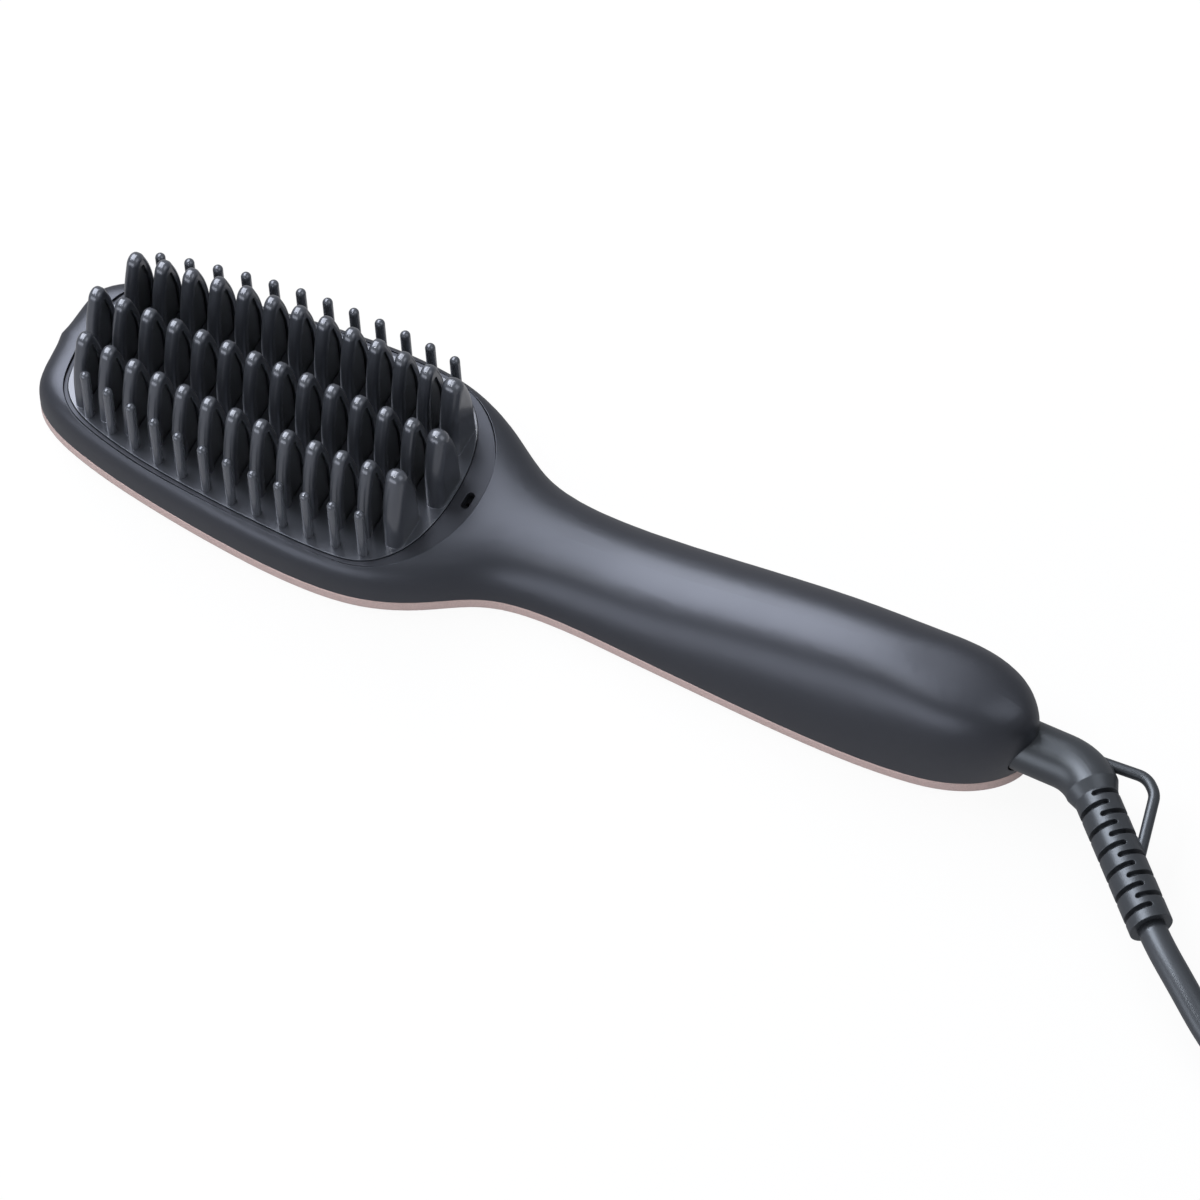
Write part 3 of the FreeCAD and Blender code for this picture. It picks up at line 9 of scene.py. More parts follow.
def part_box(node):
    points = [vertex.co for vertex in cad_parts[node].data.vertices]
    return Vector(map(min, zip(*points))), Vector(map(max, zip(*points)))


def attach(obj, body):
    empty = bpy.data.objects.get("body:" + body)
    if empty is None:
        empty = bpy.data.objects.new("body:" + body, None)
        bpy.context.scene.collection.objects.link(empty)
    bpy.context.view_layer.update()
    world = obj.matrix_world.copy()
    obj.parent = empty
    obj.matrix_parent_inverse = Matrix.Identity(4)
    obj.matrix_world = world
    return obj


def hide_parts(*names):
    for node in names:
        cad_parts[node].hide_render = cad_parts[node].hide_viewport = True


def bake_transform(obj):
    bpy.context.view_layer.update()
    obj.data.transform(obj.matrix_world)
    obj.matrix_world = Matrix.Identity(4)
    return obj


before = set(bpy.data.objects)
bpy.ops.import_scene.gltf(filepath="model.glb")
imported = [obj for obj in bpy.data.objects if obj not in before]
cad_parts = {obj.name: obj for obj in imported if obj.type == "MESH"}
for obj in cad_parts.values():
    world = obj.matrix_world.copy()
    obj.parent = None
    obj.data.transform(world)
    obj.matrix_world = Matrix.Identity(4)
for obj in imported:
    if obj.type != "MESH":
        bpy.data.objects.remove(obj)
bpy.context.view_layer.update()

bpy.context.scene.view_settings.view_transform = "Standard"


# Upper shell: the black half of the body, with head, neck and grip in one injection moulding
# of heat proof nylon. Its tool was lightly spark eroded, so it has a fine satin grain.
class Shade:
    """A socket among a material's nodes; sums and products of shades add Math nodes."""

    def __init__(self, tree, socket=None):
        self.tree = tree
        self.socket = socket

    def node(self, kind, settings=None, inputs=None, output=0):
        """Adds a node: its settings first, then the values or links of its sockets."""
        made = self.tree.nodes.new("ShaderNode" + kind)
        for name, value in (settings or {}).items():
            if name == "stops":
                ramp = made.color_ramp.elements
                while len(ramp) < len(value):
                    ramp.new(1.0)
                for stop, (place, level) in zip(ramp, value):
                    stop.position = place
                    stop.color = (level, level, level, 1.0)
            else:
                setattr(made, name, value)
        for name, value in (inputs or {}).items():
            if isinstance(value, Shade):
                self.tree.links.new(value.socket, made.inputs[name])
            else:
                made.inputs[name].default_value = value
        return Shade(self.tree, made.outputs[output] if made.outputs else None)

    def maths(self, operation, left, right):
        return self.node("Math", {"operation": operation}, {0: left, 1: right})

    def tones(self, share, first, second):
        """A colour that goes from the first to the second as the share goes from 0 to 1."""
        return self.node(
            "Mix", {"data_type": "RGBA"}, {0: share, 6: first, 7: second}, output=2)

    def swing(self, amount):
        """This shade's ups and downs about its middle, 0.5."""
        return (self - 0.5) * amount

    def __add__(self, other):
        return self.maths("ADD", self, other)

    __radd__ = __add__

    def __sub__(self, other):
        return self.maths("SUBTRACT", self, other)

    def __rsub__(self, other):
        return self.maths("SUBTRACT", other, self)

    def __mul__(self, other):
        return self.maths("MULTIPLY", self, other)

    __rmul__ = __mul__


def new_finish(name):
    material = bpy.data.materials.new(name)
    material.use_nodes = True
    material.node_tree.nodes.clear()
    return material, Shade(material.node_tree)


def finished(material, shade, sockets):
    """Closes a finish with the surface that these sockets describe."""
    surface = shade.node("BsdfPrincipled", {}, sockets)
    shade.node("OutputMaterial", {}, {"Surface": surface})
    return material


def wear(material, *names):
    """Gives CAD pieces their finish."""
    for name in names:
        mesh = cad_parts[name].data
        mesh.materials.clear()
        mesh.materials.append(material)


def toned(colour, level=1.0):
    """A colour made darker or paler, with the fourth number that a socket wants."""
    return [min(1.0, c * level) for c in colour] + [1.0]


EDGE_GAIN = 4.0          # how soon a turned normal counts as a full edge
EDGE_PALE = 0.6          # share of the paler colour on a full edge: rubbed wear and painted highlight
EDGE_SHINE = 0.06        # roughness that rubbing takes off there
GLOSS_PATCHES = 55.0     # to the metre
COLOUR_CLOUDS = 140.0    # to the metre


def eased_edge(shade, radius):
    """The normal of slightly rounded edges."""
    return shade.node("Bevel", {"samples": 6}, {"Radius": radius})


def edge_share(shade, eased):
    """How far each place lies on an edge, where the eased normal leaves the plain one."""
    plain = shade.node("NewGeometry", output="Normal")
    alike = shade.node(
        "VectorMath", {"operation": "DOT_PRODUCT"}, {0: eased, 1: plain}, output="Value")
    return shade.maths("MINIMUM", (1.0 - alike) * EDGE_GAIN, 1.0)


def moulded(
        name, colour, satin, grain, depth, mottle=0.05, tint=0.12, coat=0.0,
        sheen=(0.80, 0.85, 1.0), edge=0.0003, sheen_level=0.75, edge_wear_highlight_tone=2.2):
    """Moulded plastic: eroded grain, cloudy colour, patches of gloss; edges painted paler, partly
    as rubbed wear and partly as a painted highlight.
    """
    material, shade = new_finish(name)
    eased = eased_edge(shade, edge)
    edge_wear_highlight_share = edge_share(shade, eased)
    place = shade.node("TexCoord", output="Object")
    fine = shade.node("TexNoise", {}, {
        "Vector": place, "Scale": grain, "Detail": 3.0, "Roughness": 0.6})
    patches = shade.node("TexNoise", {}, {"Vector": place, "Scale": GLOSS_PATCHES, "Detail": 2.0})
    clouds = shade.node("TexNoise", {}, {"Vector": place, "Scale": COLOUR_CLOUDS, "Detail": 4.0})
    cloudy = shade.tones(clouds, toned(colour, 1 - tint), toned(colour, 1 + tint))
    bump = shade.node("Bump", {}, {
        "Strength": 1.0, "Distance": depth, "Height": fine, "Normal": eased})
    return finished(material, shade, {
        # Base colour is paler on edges: partly rubbed wear, partly a painted edge highlight.
        "Base Color": shade.tones(edge_wear_highlight_share * EDGE_PALE, cloudy, toned(colour, edge_wear_highlight_tone)),
        "Roughness": satin + patches.swing(mottle) + fine.swing(mottle) - edge_wear_highlight_share * EDGE_SHINE,
        "Normal": bump, "IOR": 1.58, "Specular IOR Level": sheen_level,
        "Specular Tint": toned(sheen), "Coat Weight": coat, "Coat Roughness": 0.12})


shell_black = moulded(
    "satin_black_shell", colour=(0.016, 0.017, 0.021), satin=0.40, grain=4200.0, depth=0.000008)
wear(shell_black, "upper_shell")


# Rear cover: the tray that closes the back, the same nylon sprayed with a rose gold metallic
# lacquer. It clips inside the shell's edge by a lip, and three screws hold it.
LACQUER_EDGE = 0.0016    # radius that the lacquer rounds the tray's edges to


def metallic_lacquer(
        name, colour, satin, flakes=5200.0, dull=0.88, bright=1.10, mist_gloss=0.08,
        flake_gloss=0.10, metal=0.25, flake_metal=0.2):
    """Sprayed lacquer with fine metal flakes under a thin clear coat."""
    material, shade = new_finish(name)
    place = shade.node("TexCoord", output="Object")
    cells = shade.node("TexVoronoi", {}, {"Vector": place, "Scale": flakes}, output="Color")
    flake = shade.node("SeparateColor", {}, {"Color": cells})
    mist = shade.node("TexNoise", {}, {"Vector": place, "Scale": 90.0, "Detail": 3.0})
    bump = shade.node("Bump", {}, {
        "Strength": 1.0, "Distance": 0.000006, "Height": flake,
        "Normal": eased_edge(shade, LACQUER_EDGE)})
    return finished(material, shade, {
        "Base Color": shade.tones(flake, toned(colour, dull), toned(colour, bright)),
        "Roughness": satin + mist.swing(mist_gloss) + flake.swing(flake_gloss),
        "Metallic": metal + flake * flake_metal, "Normal": bump,
        "Coat Weight": 0.25, "Coat Roughness": 0.2})


rose_gold = metallic_lacquer("rose_gold_lacquer", colour=(0.69, 0.52, 0.49), satin=0.34)
wear(rose_gold, "rear_cover")


# Head bezel: the ring and crescent round the comb plate, a separate black moulding pressed
# into the head's pocket, with the oval ion outlet through its crescent.
bezel_black = moulded(
    "satin_black_bezel", colour=(0.022, 0.023, 0.028), satin=0.50, grain=4200.0, depth=0.000008,
    sheen_level=0.7)
wear(bezel_black, "head_bezel")


# Comb cover: the plate and its three rows of arch shaped fins, moulded in one piece of a heat
# proof nylon, greyer and glossier than the shell. It drops over the heated blades.
# Its edges are painted much paler: a painted highlight along the rims as well as wear.
comb_black = moulded(
    "black_comb", colour=(0.043, 0.047, 0.056), satin=0.30, grain=3600.0, depth=0.000006,
    coat=0.8, sheen_level=0.9, edge_wear_highlight_tone=4.5)
wear(comb_black, "comb_cover")


# Edge pins: two rows of slim pins with round tips, polished in the tool and pressed into
# the plate. They keep the hair and the scalp away from the heated middle.
pin_black = moulded(
    "polished_black_pins", colour=(0.060, 0.065, 0.076), satin=0.20, grain=2600.0,
    depth=0.000004, mottle=0.03, tint=0.08, coat=0.5)
wear(pin_black, "edge_pins")


# Heater plate: die cast aluminium with a blade for every arch, hard coated nearly black. The
# coat keeps the fine lines of the casting's ground faces, and shines a little through.
def hard_coat(name, colour, satin, along, deep=0.8, pale=1.25, line_gloss=0.15):
    """Dark anodised metal with fine grinding lines."""
    material, shade = new_finish(name)
    place = shade.node("TexCoord", output="Object")
    ground = shade.node("Mapping", {}, {"Vector": place, "Scale": along})
    lines = shade.node("TexNoise", {}, {"Vector": ground, "Scale": 1.0, "Detail": 2.0})
    stain = shade.node("TexNoise", {}, {"Vector": place, "Scale": 120.0, "Detail": 3.0})
    bump = shade.node("Bump", {}, {"Strength": 1.0, "Distance": 0.00001, "Height": lines})
    return finished(material, shade, {
        "Base Color": shade.tones(stain, toned(colour, deep), toned(colour, pale)),
        "Roughness": satin + lines.swing(line_gloss), "Metallic": 0.25, "Normal": bump})


blade_coat = hard_coat(
    "dark_hard_coat", colour=(0.074, 0.080, 0.088), satin=0.40, along=(900.0, 900.0, 14000.0))
wear(blade_coat, "heater_plate")


# Heater stack: two ceramic heating strips under the plate, a mica sheet, a spring steel clamp and
# a pale nylon tray, held by four screws. The fuse and the thermistor lie past the strips.
def chalky(name, colour, speck, satin, dry=0.2):
    """Fired ceramic or mica: specks of a second colour in a dry matt body."""
    material, shade = new_finish(name)
    place = shade.node("TexCoord", output="Object")
    specks = shade.node("TexNoise", {}, {"Vector": place, "Scale": 1500.0, "Detail": 4.0})
    sharp = shade.node("ValToRGB", {"stops": [(0.52, 0.0), (0.64, 1.0)]}, {"Fac": specks})
    bump = shade.node("Bump", {}, {"Strength": 0.8, "Distance": 0.00002, "Height": specks})
    return finished(material, shade, {
        "Base Color": shade.tones(sharp, toned(colour), toned(speck)),
        "Roughness": satin + specks.swing(dry), "Normal": bump})


def bare_metal(name, colour, satin, along, deep=0.86, pale=1.06, line_gloss=0.2):
    """Drawn or rolled metal, its lines running one way."""
    material, shade = new_finish(name)
    place = shade.node("TexCoord", output="Object")
    drawn = shade.node("Mapping", {}, {"Vector": place, "Scale": along})
    lines = shade.node("TexNoise", {}, {"Vector": drawn, "Scale": 1.0, "Detail": 3.0})
    bump = shade.node("Bump", {}, {"Strength": 0.6, "Distance": 0.000008, "Height": lines})
    return finished(material, shade, {
        "Base Color": shade.tones(lines, toned(colour, deep), toned(colour, pale)),
        "Roughness": satin + lines.swing(line_gloss), "Metallic": 1.0, "Normal": bump})


ceramic = chalky(
    "fired_ceramic", colour=(0.80, 0.78, 0.72), speck=(0.62, 0.60, 0.55), satin=0.75)
wear(ceramic, "heater_strips", "thermal_fuse", "thermistor")
mica = chalky("mica", colour=(0.52, 0.40, 0.25), speck=(0.72, 0.60, 0.42), satin=0.45)
wear(mica, "mica_sheet")
steel = bare_metal(
    "rolled_steel", colour=(0.60, 0.60, 0.61), satin=0.34, along=(400.0, 6000.0, 6000.0))
wear(steel, "heater_clamp", "tray_screws")
nylon = moulded(
    "natural_nylon", colour=(0.66, 0.64, 0.58), satin=0.55, grain=2500.0, depth=0.00002,
    sheen=(1.0, 1.0, 1.0))
wear(nylon, "heater_tray")


# Ion outlet: a steel needle in a matt holder, pushed up into the ledge under the bezel so that its
# point stands in the oval opening. Both are painted nearly black as painted shade, so the opening
# reads dark.
# Painted shade: the needle is made nearly black so that it vanishes in the dark opening.
needle_shade_metal = bare_metal(
    "needle_painted_shade", colour=(0.05, 0.05, 0.052), satin=0.5, along=(6000.0, 6000.0, 400.0))
wear(needle_shade_metal, "ion_needle")
# Painted shade: the holder is made nearly black so that the outlet reads as a dark hole.
holder_painted_black = moulded(
    "holder_painted_shade", colour=(0.008, 0.008, 0.009), satin=0.6, grain=2500.0, depth=0.00002,
    sheen_level=0.2)
wear(holder_painted_black, "ion_emitter")


# Control board: green lacquered laminate screwed to posts in the shell. It carries the switches,
# the lamps with their clear guide, the potted ion module and the mains parts.
BOARD_GREENS = {
    "Color1": (0.016, 0.13, 0.05, 1.0), "Color2": (0.02, 0.16, 0.06, 1.0),
    "Mortar": (0.05, 0.27, 0.11, 1.0)}


def circuit_lacquer(name, satin, track_gloss=0.1):
    """Green solder lacquer with the copper's tracks showing as paler bands."""
    material, shade = new_finish(name)
    place = shade.node("TexCoord", output="Object")
    stagger = {"offset": 0.5, "squash": 0.6}
    layout = {"Vector": place, "Scale": 260.0, "Mortar Size": 0.06, "Mortar Smooth": 0.2}
    greens = shade.node("TexBrick", stagger, {**layout, **BOARD_GREENS})
    tracks = shade.node("TexBrick", stagger, layout, output="Fac")
    bump = shade.node("Bump", {}, {"Strength": 0.8, "Distance": 0.00003, "Height": tracks})
    return finished(material, shade, {
        "Base Color": greens, "Roughness": satin + tracks * track_gloss, "Normal": bump})


def lit_window(name, colour, clear, satin, deep=0.9, flow_gloss=0.1):
    """Clear or milky plastic, with the faint flow lines of its moulding."""
    material, shade = new_finish(name)
    place = shade.node("TexCoord", output="Object")
    flow = shade.node("TexNoise", {}, {
        "Vector": place, "Scale": 300.0, "Detail": 2.0, "Distortion": 1.5})
    return finished(material, shade, {
        "Base Color": shade.tones(flow, toned(colour, deep), toned(colour)),
        "Roughness": satin + flow.swing(flow_gloss), "Transmission Weight": clear, "IOR": 1.49})


wear(circuit_lacquer("green_board", satin=0.28), "control_board")
wear(steel, "board_screws")
potted_black = moulded(
    "potted_black", colour=(0.020, 0.020, 0.022), satin=0.30, grain=1500.0, depth=0.00001)
wear(potted_black, "tact_switches", "ion_module", "board_components")
clear_guide = lit_window("clear_guide", colour=(0.88, 0.90, 0.92), clear=0.6, satin=0.18)
wear(clear_guide, "light_guide")
milky_lamp = lit_window("milky_lamp", colour=(0.92, 0.90, 0.80), clear=0.2, satin=0.25)
wear(milky_lamp, "indicator_leds")


# Buttons: two round dished keys in the back of the grip, for power and for temperature. They are
# satin black mouldings, each with a pale mark printed a little proud in its dish.
key_black = moulded(
    "satin_black_key", colour=(0.026, 0.027, 0.030), satin=0.36, grain=4200.0, depth=0.00001)
wear(key_black, "power_button", "temperature_button")


def soft_print(name, colour, satin, thin=0.85, dry=0.2):
    """Pad printed ink: a little uneven where it is thin, and dry in gloss."""
    material, shade = new_finish(name)
    place = shade.node("TexCoord", output="Object")
    cover = shade.node("TexNoise", {}, {"Vector": place, "Scale": 3000.0, "Detail": 3.0})
    bump = shade.node("Bump", {}, {"Strength": 0.6, "Distance": 0.00001, "Height": cover})
    return finished(material, shade, {
        "Base Color": shade.tones(cover, toned(colour, thin), toned(colour)),
        "Roughness": satin + cover.swing(dry), "Normal": bump})


def new_piece(name, build, material, smooth=True, closed=True):
    """A mesh object from what build adds to an empty bmesh."""
    raw = bmesh.new()
    build(raw)
    if closed:
        bmesh.ops.recalc_face_normals(raw, faces=raw.faces)
    mesh = bpy.data.meshes.new(name)
    raw.to_mesh(mesh)
    raw.free()
    for face in mesh.polygons:
        face.use_smooth = smooth
    mesh.materials.append(material)
    piece = bpy.data.objects.new(name, mesh)
    bpy.context.scene.collection.objects.link(piece)
    return piece


def ring_skin(raw, rings, closed=False):
    """Joins rings of as many points each into a skin: capped at its ends, or closed on itself."""
    made = [[raw.verts.new(p) for p in ring] for ring in rings]
    pairs = list(zip(made, made[1:]))
    if closed:
        pairs.append((made[-1], made[0]))
    for one, other in pairs:
        for i in range(len(one)):
            j = (i + 1) % len(one)
            raw.faces.new((one[i], one[j], other[j], other[i]))
    if not closed:
        raw.faces.new(reversed(made[0]))
        raw.faces.new(made[-1])


MARK_WIDTH = 0.00042
MARK_PROUD = 0.00008
MARK_SUNK = 0.0002
MARK_SEARCH = 0.01       # from under the key up to its face
mark_ink = soft_print("pale_print", colour=(0.62, 0.62, 0.64), satin=0.5)


def printed_mark(name, key, strokes):
    """Lines printed on a key's dished face, which looks down; strokes lie in the key's plane."""
    low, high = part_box(key)
    middle = (Vector(low) + Vector(high)) / 2
    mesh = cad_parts[key].data
    face = BVHTree.FromPolygons([v.co for v in mesh.vertices], [p.vertices for p in mesh.polygons])

    def on_key(x, y):
        start = Vector((middle.x + x, middle.y + y, low[2] - MARK_SEARCH))
        return face.ray_cast(start, Vector((0, 0, 1)))[0]

    def build(raw):
        down = Vector((0, 0, -MARK_PROUD))
        up = Vector((0, 0, MARK_SUNK))
        for stroke in strokes:
            rings = []
            for i, (x, y) in enumerate(stroke):
                before = Vector(stroke[max(i - 1, 0)])
                after = Vector(stroke[min(i + 1, len(stroke) - 1)])
                way = (after - before).normalized()
                side = Vector((-way.y, way.x)) * MARK_WIDTH / 2
                left = on_key(x + side.x, y + side.y)
                right = on_key(x - side.x, y - side.y)
                rings.append([left + up, left + down, right + down, right + up])
            ring_skin(raw, rings)

    piece = new_piece(name, build, mark_ink, smooth=False)
    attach(piece, key)


POWER_RING = 0.0017      # radius of the broken ring
POWER_GAP = 35           # degrees from its bar to each end
POWER_STEP = 10
BULB_RADIUS = 0.0007
BULB_PLACE = -0.0011
BULB_STEP = 15
STEM_POINTS = 7
TICK_COUNT = 3
TICK_START = 0.0002
TICK_PITCH = 0.0007
TICK_NEAR = 0.0005       # from the stem's middle line
TICK_FAR = 0.0012


def arc(place, radius, start, end, step):
    """Points round a place on the key's middle line, between two angles in degrees."""
    turns = [math.radians(a) for a in range(start, end + 1, step)]
    return [(place + radius * math.cos(a), radius * math.sin(a)) for a in turns]


def stem(start, pitch):
    """Points along the key's middle line."""
    return [(start + pitch * i, 0.0) for i in range(STEM_POINTS)]


broken_ring = arc(0.0, POWER_RING, POWER_GAP, 360 - POWER_GAP, POWER_STEP)
printed_mark("power_mark", "power_button", [broken_ring, stem(start=0.0005, pitch=0.0003)])
bulb = arc(BULB_PLACE, BULB_RADIUS, 0, 360, BULB_STEP)
tick_places = [TICK_START + TICK_PITCH * i for i in range(TICK_COUNT)]
ticks = [[(x, TICK_NEAR), (x, TICK_FAR)] for x in tick_places]
printed_mark(
    "temperature_mark", "temperature_button", [stem(start=-0.0004, pitch=0.0004), bulb] + ticks)


# Case screws: three pan head steel screws in the back, one at the neck and two at the tail. They
# go through the cover into posts of the shell.
wear(steel, "case_screws")


# Cord swivel: a black core that turns in a nylon bush in the tail, with two brass slip rings and
# the brass leaf springs on the board's end that rub on them.
core_black = moulded(
    "satin_black_core", colour=(0.022, 0.022, 0.025), satin=0.42, grain=3000.0, depth=0.00001)
wear(core_black, "swivel_core")
wear(nylon, "swivel_bush")
brass = bare_metal(
    "polished_brass", colour=(0.72, 0.52, 0.22), satin=0.22, along=(6000.0, 900.0, 900.0))
wear(brass, "contact_rings", "contact_springs")


# Cord guard: stub, elbow, slotted strain relief and hang loop, moulded on the cord in one piece
# of soft black elastomer with an eroded, slightly dusty skin.
RUBBER_SHEEN = (0.82, 0.90, 1.0)
rubber = moulded(
    "soft_black_rubber", colour=(0.024, 0.026, 0.030), satin=0.37, grain=3000.0, depth=0.00002,
    mottle=0.08, tint=0.18, sheen=RUBBER_SHEEN, sheen_level=0.9)
wear(rubber, "cord_guard")


# Power cord: a round black rubber flex, about 1.8 m long. It leaves the relief, drops to the
# table and is wound up beside the brush in two layers of turns, with its plug beside the coil.
CORD_RADIUS = 0.0035
CORD_SIDES = 24
LINE_STEPS = 5           # points of the tube to each point of the route
ELBOW = Vector((0.1451, 0.0, 0.012))
ELBOW_TURN = math.radians(43.3)
RELIEF_REACH = 0.0454
FIRST_RUN = 0.005
LEAD_POINTS = [
    Vector((0.1915, -0.0416, 0.0110)), Vector((0.2013, -0.0485, 0.0084)),
    Vector((0.2124, -0.0544, 0.0062)), Vector((0.2290, -0.0603, 0.0052))]
LAST_RUN = 0.020
COIL_CENTRE = Vector((0.2810, -0.0155, 0.0))
COIL_PITCH = 0.0077      # from turn to turn and from layer to layer
COIL_INNER = 0.028
COIL_ENTRY = 260.0       # angle where the lead comes in
COIL_LEAVE = 90.0        # and where the tail goes out
COIL_TURNS = 7
COIL_SWEEP = 360.0 * COIL_TURNS + COIL_LEAVE - COIL_ENTRY
COIL_LOWER = 0.0048      # height of the lower layer's middle
COIL_CLIMB = 180.0       # degrees from the lower layer to the upper one
COIL_PROBE = 0.5         # degrees each side of a place, for its direction
TURN_POINTS = 24
TAIL_RUN = 0.010
TAIL_DROP = 0.020
PLUG_MIDDLE = 0.00685


def coil_place(turned, spread=1.0):
    """A place on the coil after so many degrees: in on the lower layer, out on the upper one."""
    from_reversal = turned - COIL_SWEEP / 2
    radius = (COIL_INNER + COIL_PITCH / 360.0 * abs(from_reversal)) * spread
    climbed = min(max(from_reversal / COIL_CLIMB + 0.5, 0.0), 1.0)
    angle = math.radians(COIL_ENTRY + turned)
    height = COIL_LOWER + climbed * climbed * (3 - 2 * climbed) * COIL_PITCH
    return COIL_CENTRE + Vector((radius * math.cos(angle), radius * math.sin(angle), height))


relief_way = Vector((math.cos(ELBOW_TURN), -math.sin(ELBOW_TURN), 0.0))
cord_exit = ELBOW + relief_way * RELIEF_REACH
coil_way = (coil_place(COIL_PROBE) - coil_place(-COIL_PROBE)).normalized()
lead_end = coil_place(0.0) - coil_way * 2 * CORD_RADIUS
coil_end = coil_place(COIL_SWEEP)
tail_start = coil_end - Vector((2 * CORD_RADIUS, 0.0, 0.0))
tail_run = Vector((TAIL_RUN, 0.0, 0.0))
plug_rear = Vector((tail_start.x - 2 * TAIL_RUN - TAIL_DROP, coil_end.y, PLUG_MIDDLE))
turn_steps = round(COIL_SWEEP / 360.0 * TURN_POINTS)
outside = 1 / math.cos(math.pi / TURN_POINTS)
route = [cord_exit, cord_exit + relief_way * FIRST_RUN]
route += LEAD_POINTS
route += [lead_end - coil_way * LAST_RUN, lead_end]
route += [coil_place(COIL_SWEEP * i / turn_steps, outside) for i in range(turn_steps + 1)]
route += [tail_start, tail_start - tail_run, plug_rear + tail_run, plug_rear]

line = bpy.data.curves.new("cord_line", "CURVE")
line.dimensions = "3D"
line.resolution_u = LINE_STEPS
spline = line.splines.new("NURBS")
spline.points.add(len(route) - 1)
for point, place in zip(spline.points, route):
    point.co = (place.x, place.y, place.z, 1.0)
spline.order_u = 3
spline.use_endpoint_u = True
line_holder = bpy.data.objects.new("cord_line", line)
line_mesh = bpy.data.meshes.new_from_object(line_holder)
cord_path = [v.co.copy() for v in line_mesh.vertices]
bpy.data.objects.remove(line_holder)
bpy.data.curves.remove(line)
bpy.data.meshes.remove(line_mesh)


def tube_rings(path, radius, sides):
    """Rings square to a path, carried along it without twisting."""
    turns = [math.tau * k / sides for k in range(sides)]
    rings = []
    side = Vector((0.0, 0.0, 1.0))
    for i, place in enumerate(path):
        way = (path[min(i + 1, len(path) - 1)] - path[max(i - 1, 0)]).normalized()
        side = (side - way * side.dot(way)).normalized()
        across = way.cross(side)
        rings.append([
            place + (side * math.cos(a) + across * math.sin(a)) * radius for a in turns])
    return rings


def cord_tube(raw):
    ring_skin(raw, tube_rings(cord_path, CORD_RADIUS, CORD_SIDES))


cord_rubber = moulded(
    "cord_rubber_skin", colour=(0.027, 0.029, 0.034), satin=0.38, grain=3000.0, depth=0.000006,
    mottle=0.04, tint=0.18, sheen=RUBBER_SHEEN, edge=0.0, sheen_level=1.0)
cord = new_piece("cord", cord_tube, cord_rubber)
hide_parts("power_cord", "cord_coil", "cord_tail")
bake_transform(cord)


# Cord tie: a strap of ribbed black elastomer round all the turns. Its tongue is pulled through a
# keeper and lies along the top of the coil.
STRAP_THICK = 0.0010
STRAP_WIDTH = 0.0090
STRAP_BEND = 0.0020
STRAP_CHAMFER = 0.00022
STRAP_SLACK = 0.0003     # between the strap and the turns at its ends
STRAP_RIBS = 0.0006      # from a rib to the groove beside it
STRAP_GROOVE = 0.86      # thickness left in a groove
BEND_STEP = 15
TONGUE_START = 0.0025
TONGUE_LENGTH = 0.0185
TONGUE_STEPS = 24
TONGUE_THICK = 0.0009
TONGUE_NARROWER = 0.0014     # than the strap
TONGUE_ENDS = 0.25       # share of its length that rises at the root, and narrows at the tip
TONGUE_TIP = 0.75        # width that the tip loses
TONGUE_RISE = 0.0011
TONGUE_SUNK = 0.0006     # its root, below the strap's top
KEEPER_PLACE = 0.0105
KEEPER_HALF_WIDTH = 0.0048
KEEPER_HALF_HEIGHT = 0.0014
KEEPER_RISE = 0.0002
KEEPER_SQUARE = 1.22     # how far its corners stand out from a round ring's
KEEPER_POINTS = 40
KEEPER_HALF_BAND = 0.0010
KEEPER_HALF_THICK = 0.00035
KEEPER_SIDES = 10
tie_low, tie_high = (Vector(c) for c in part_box("cord_tie"))
tie_middle = (tie_low.y + tie_high.y) / 2
held = [
    p.x for p in cord_path if tie_low.y < p.y < tie_high.y and tie_low.x < p.x < COIL_CENTRE.x]
tie_low.x = min(held) - CORD_RADIUS - STRAP_SLACK - STRAP_THICK
tie_high.x = max(held) + CORD_RADIUS + STRAP_SLACK + STRAP_THICK


def strap_line(low, high, bend, spacing):
    """A strap's middle line round a bundle, with the way out of the bundle at each place."""
    places = []
    corners = (
        (high.x - bend, high.z - bend, 0), (low.x + bend, high.z - bend, 90),
        (low.x + bend, low.z + bend, 180), (high.x - bend, low.z + bend, 270))
    for (x, z, start), (next_x, next_z, _) in zip(corners, corners[1:] + corners[:1]):
        for turn in range(0, 91, BEND_STEP):
            a = math.radians(start + turn)
            out = Vector((math.cos(a), 0.0, math.sin(a)))
            places.append((Vector((x, 0.0, z)) + out * bend, out))
        run = Vector((next_x - x, 0.0, next_z - z))
        count = max(2, round(run.length / spacing))
        for k in range(1, count):
            places.append((Vector((x, 0.0, z)) + run * k / count + out * bend, out))
    return places


def strap_section(place, out, width, thick):
    """A flat section with its edges broken."""
    w = width / 2
    h = thick / 2
    c = STRAP_CHAMFER
    outline = (
        (w, h - c), (w - c, h), (c - w, h), (-w, h - c),
        (-w, c - h), (c - w, -h), (w - c, -h), (w, c - h))
    return [place + out * b + Vector((0.0, tie_middle + a, 0.0)) for a, b in outline]


def strap_band(raw):
    half = Vector((STRAP_THICK / 2, 0.0, STRAP_THICK / 2))
    rings = []
    middle = strap_line(tie_low + half, tie_high - half, STRAP_BEND, STRAP_RIBS)
    for i, (place, out) in enumerate(middle):
        ribbed = STRAP_THICK * (1.0 if i % 2 else STRAP_GROOVE)
        rings.append(strap_section(place, out, STRAP_WIDTH, ribbed))
    ring_skin(raw, rings, closed=True)


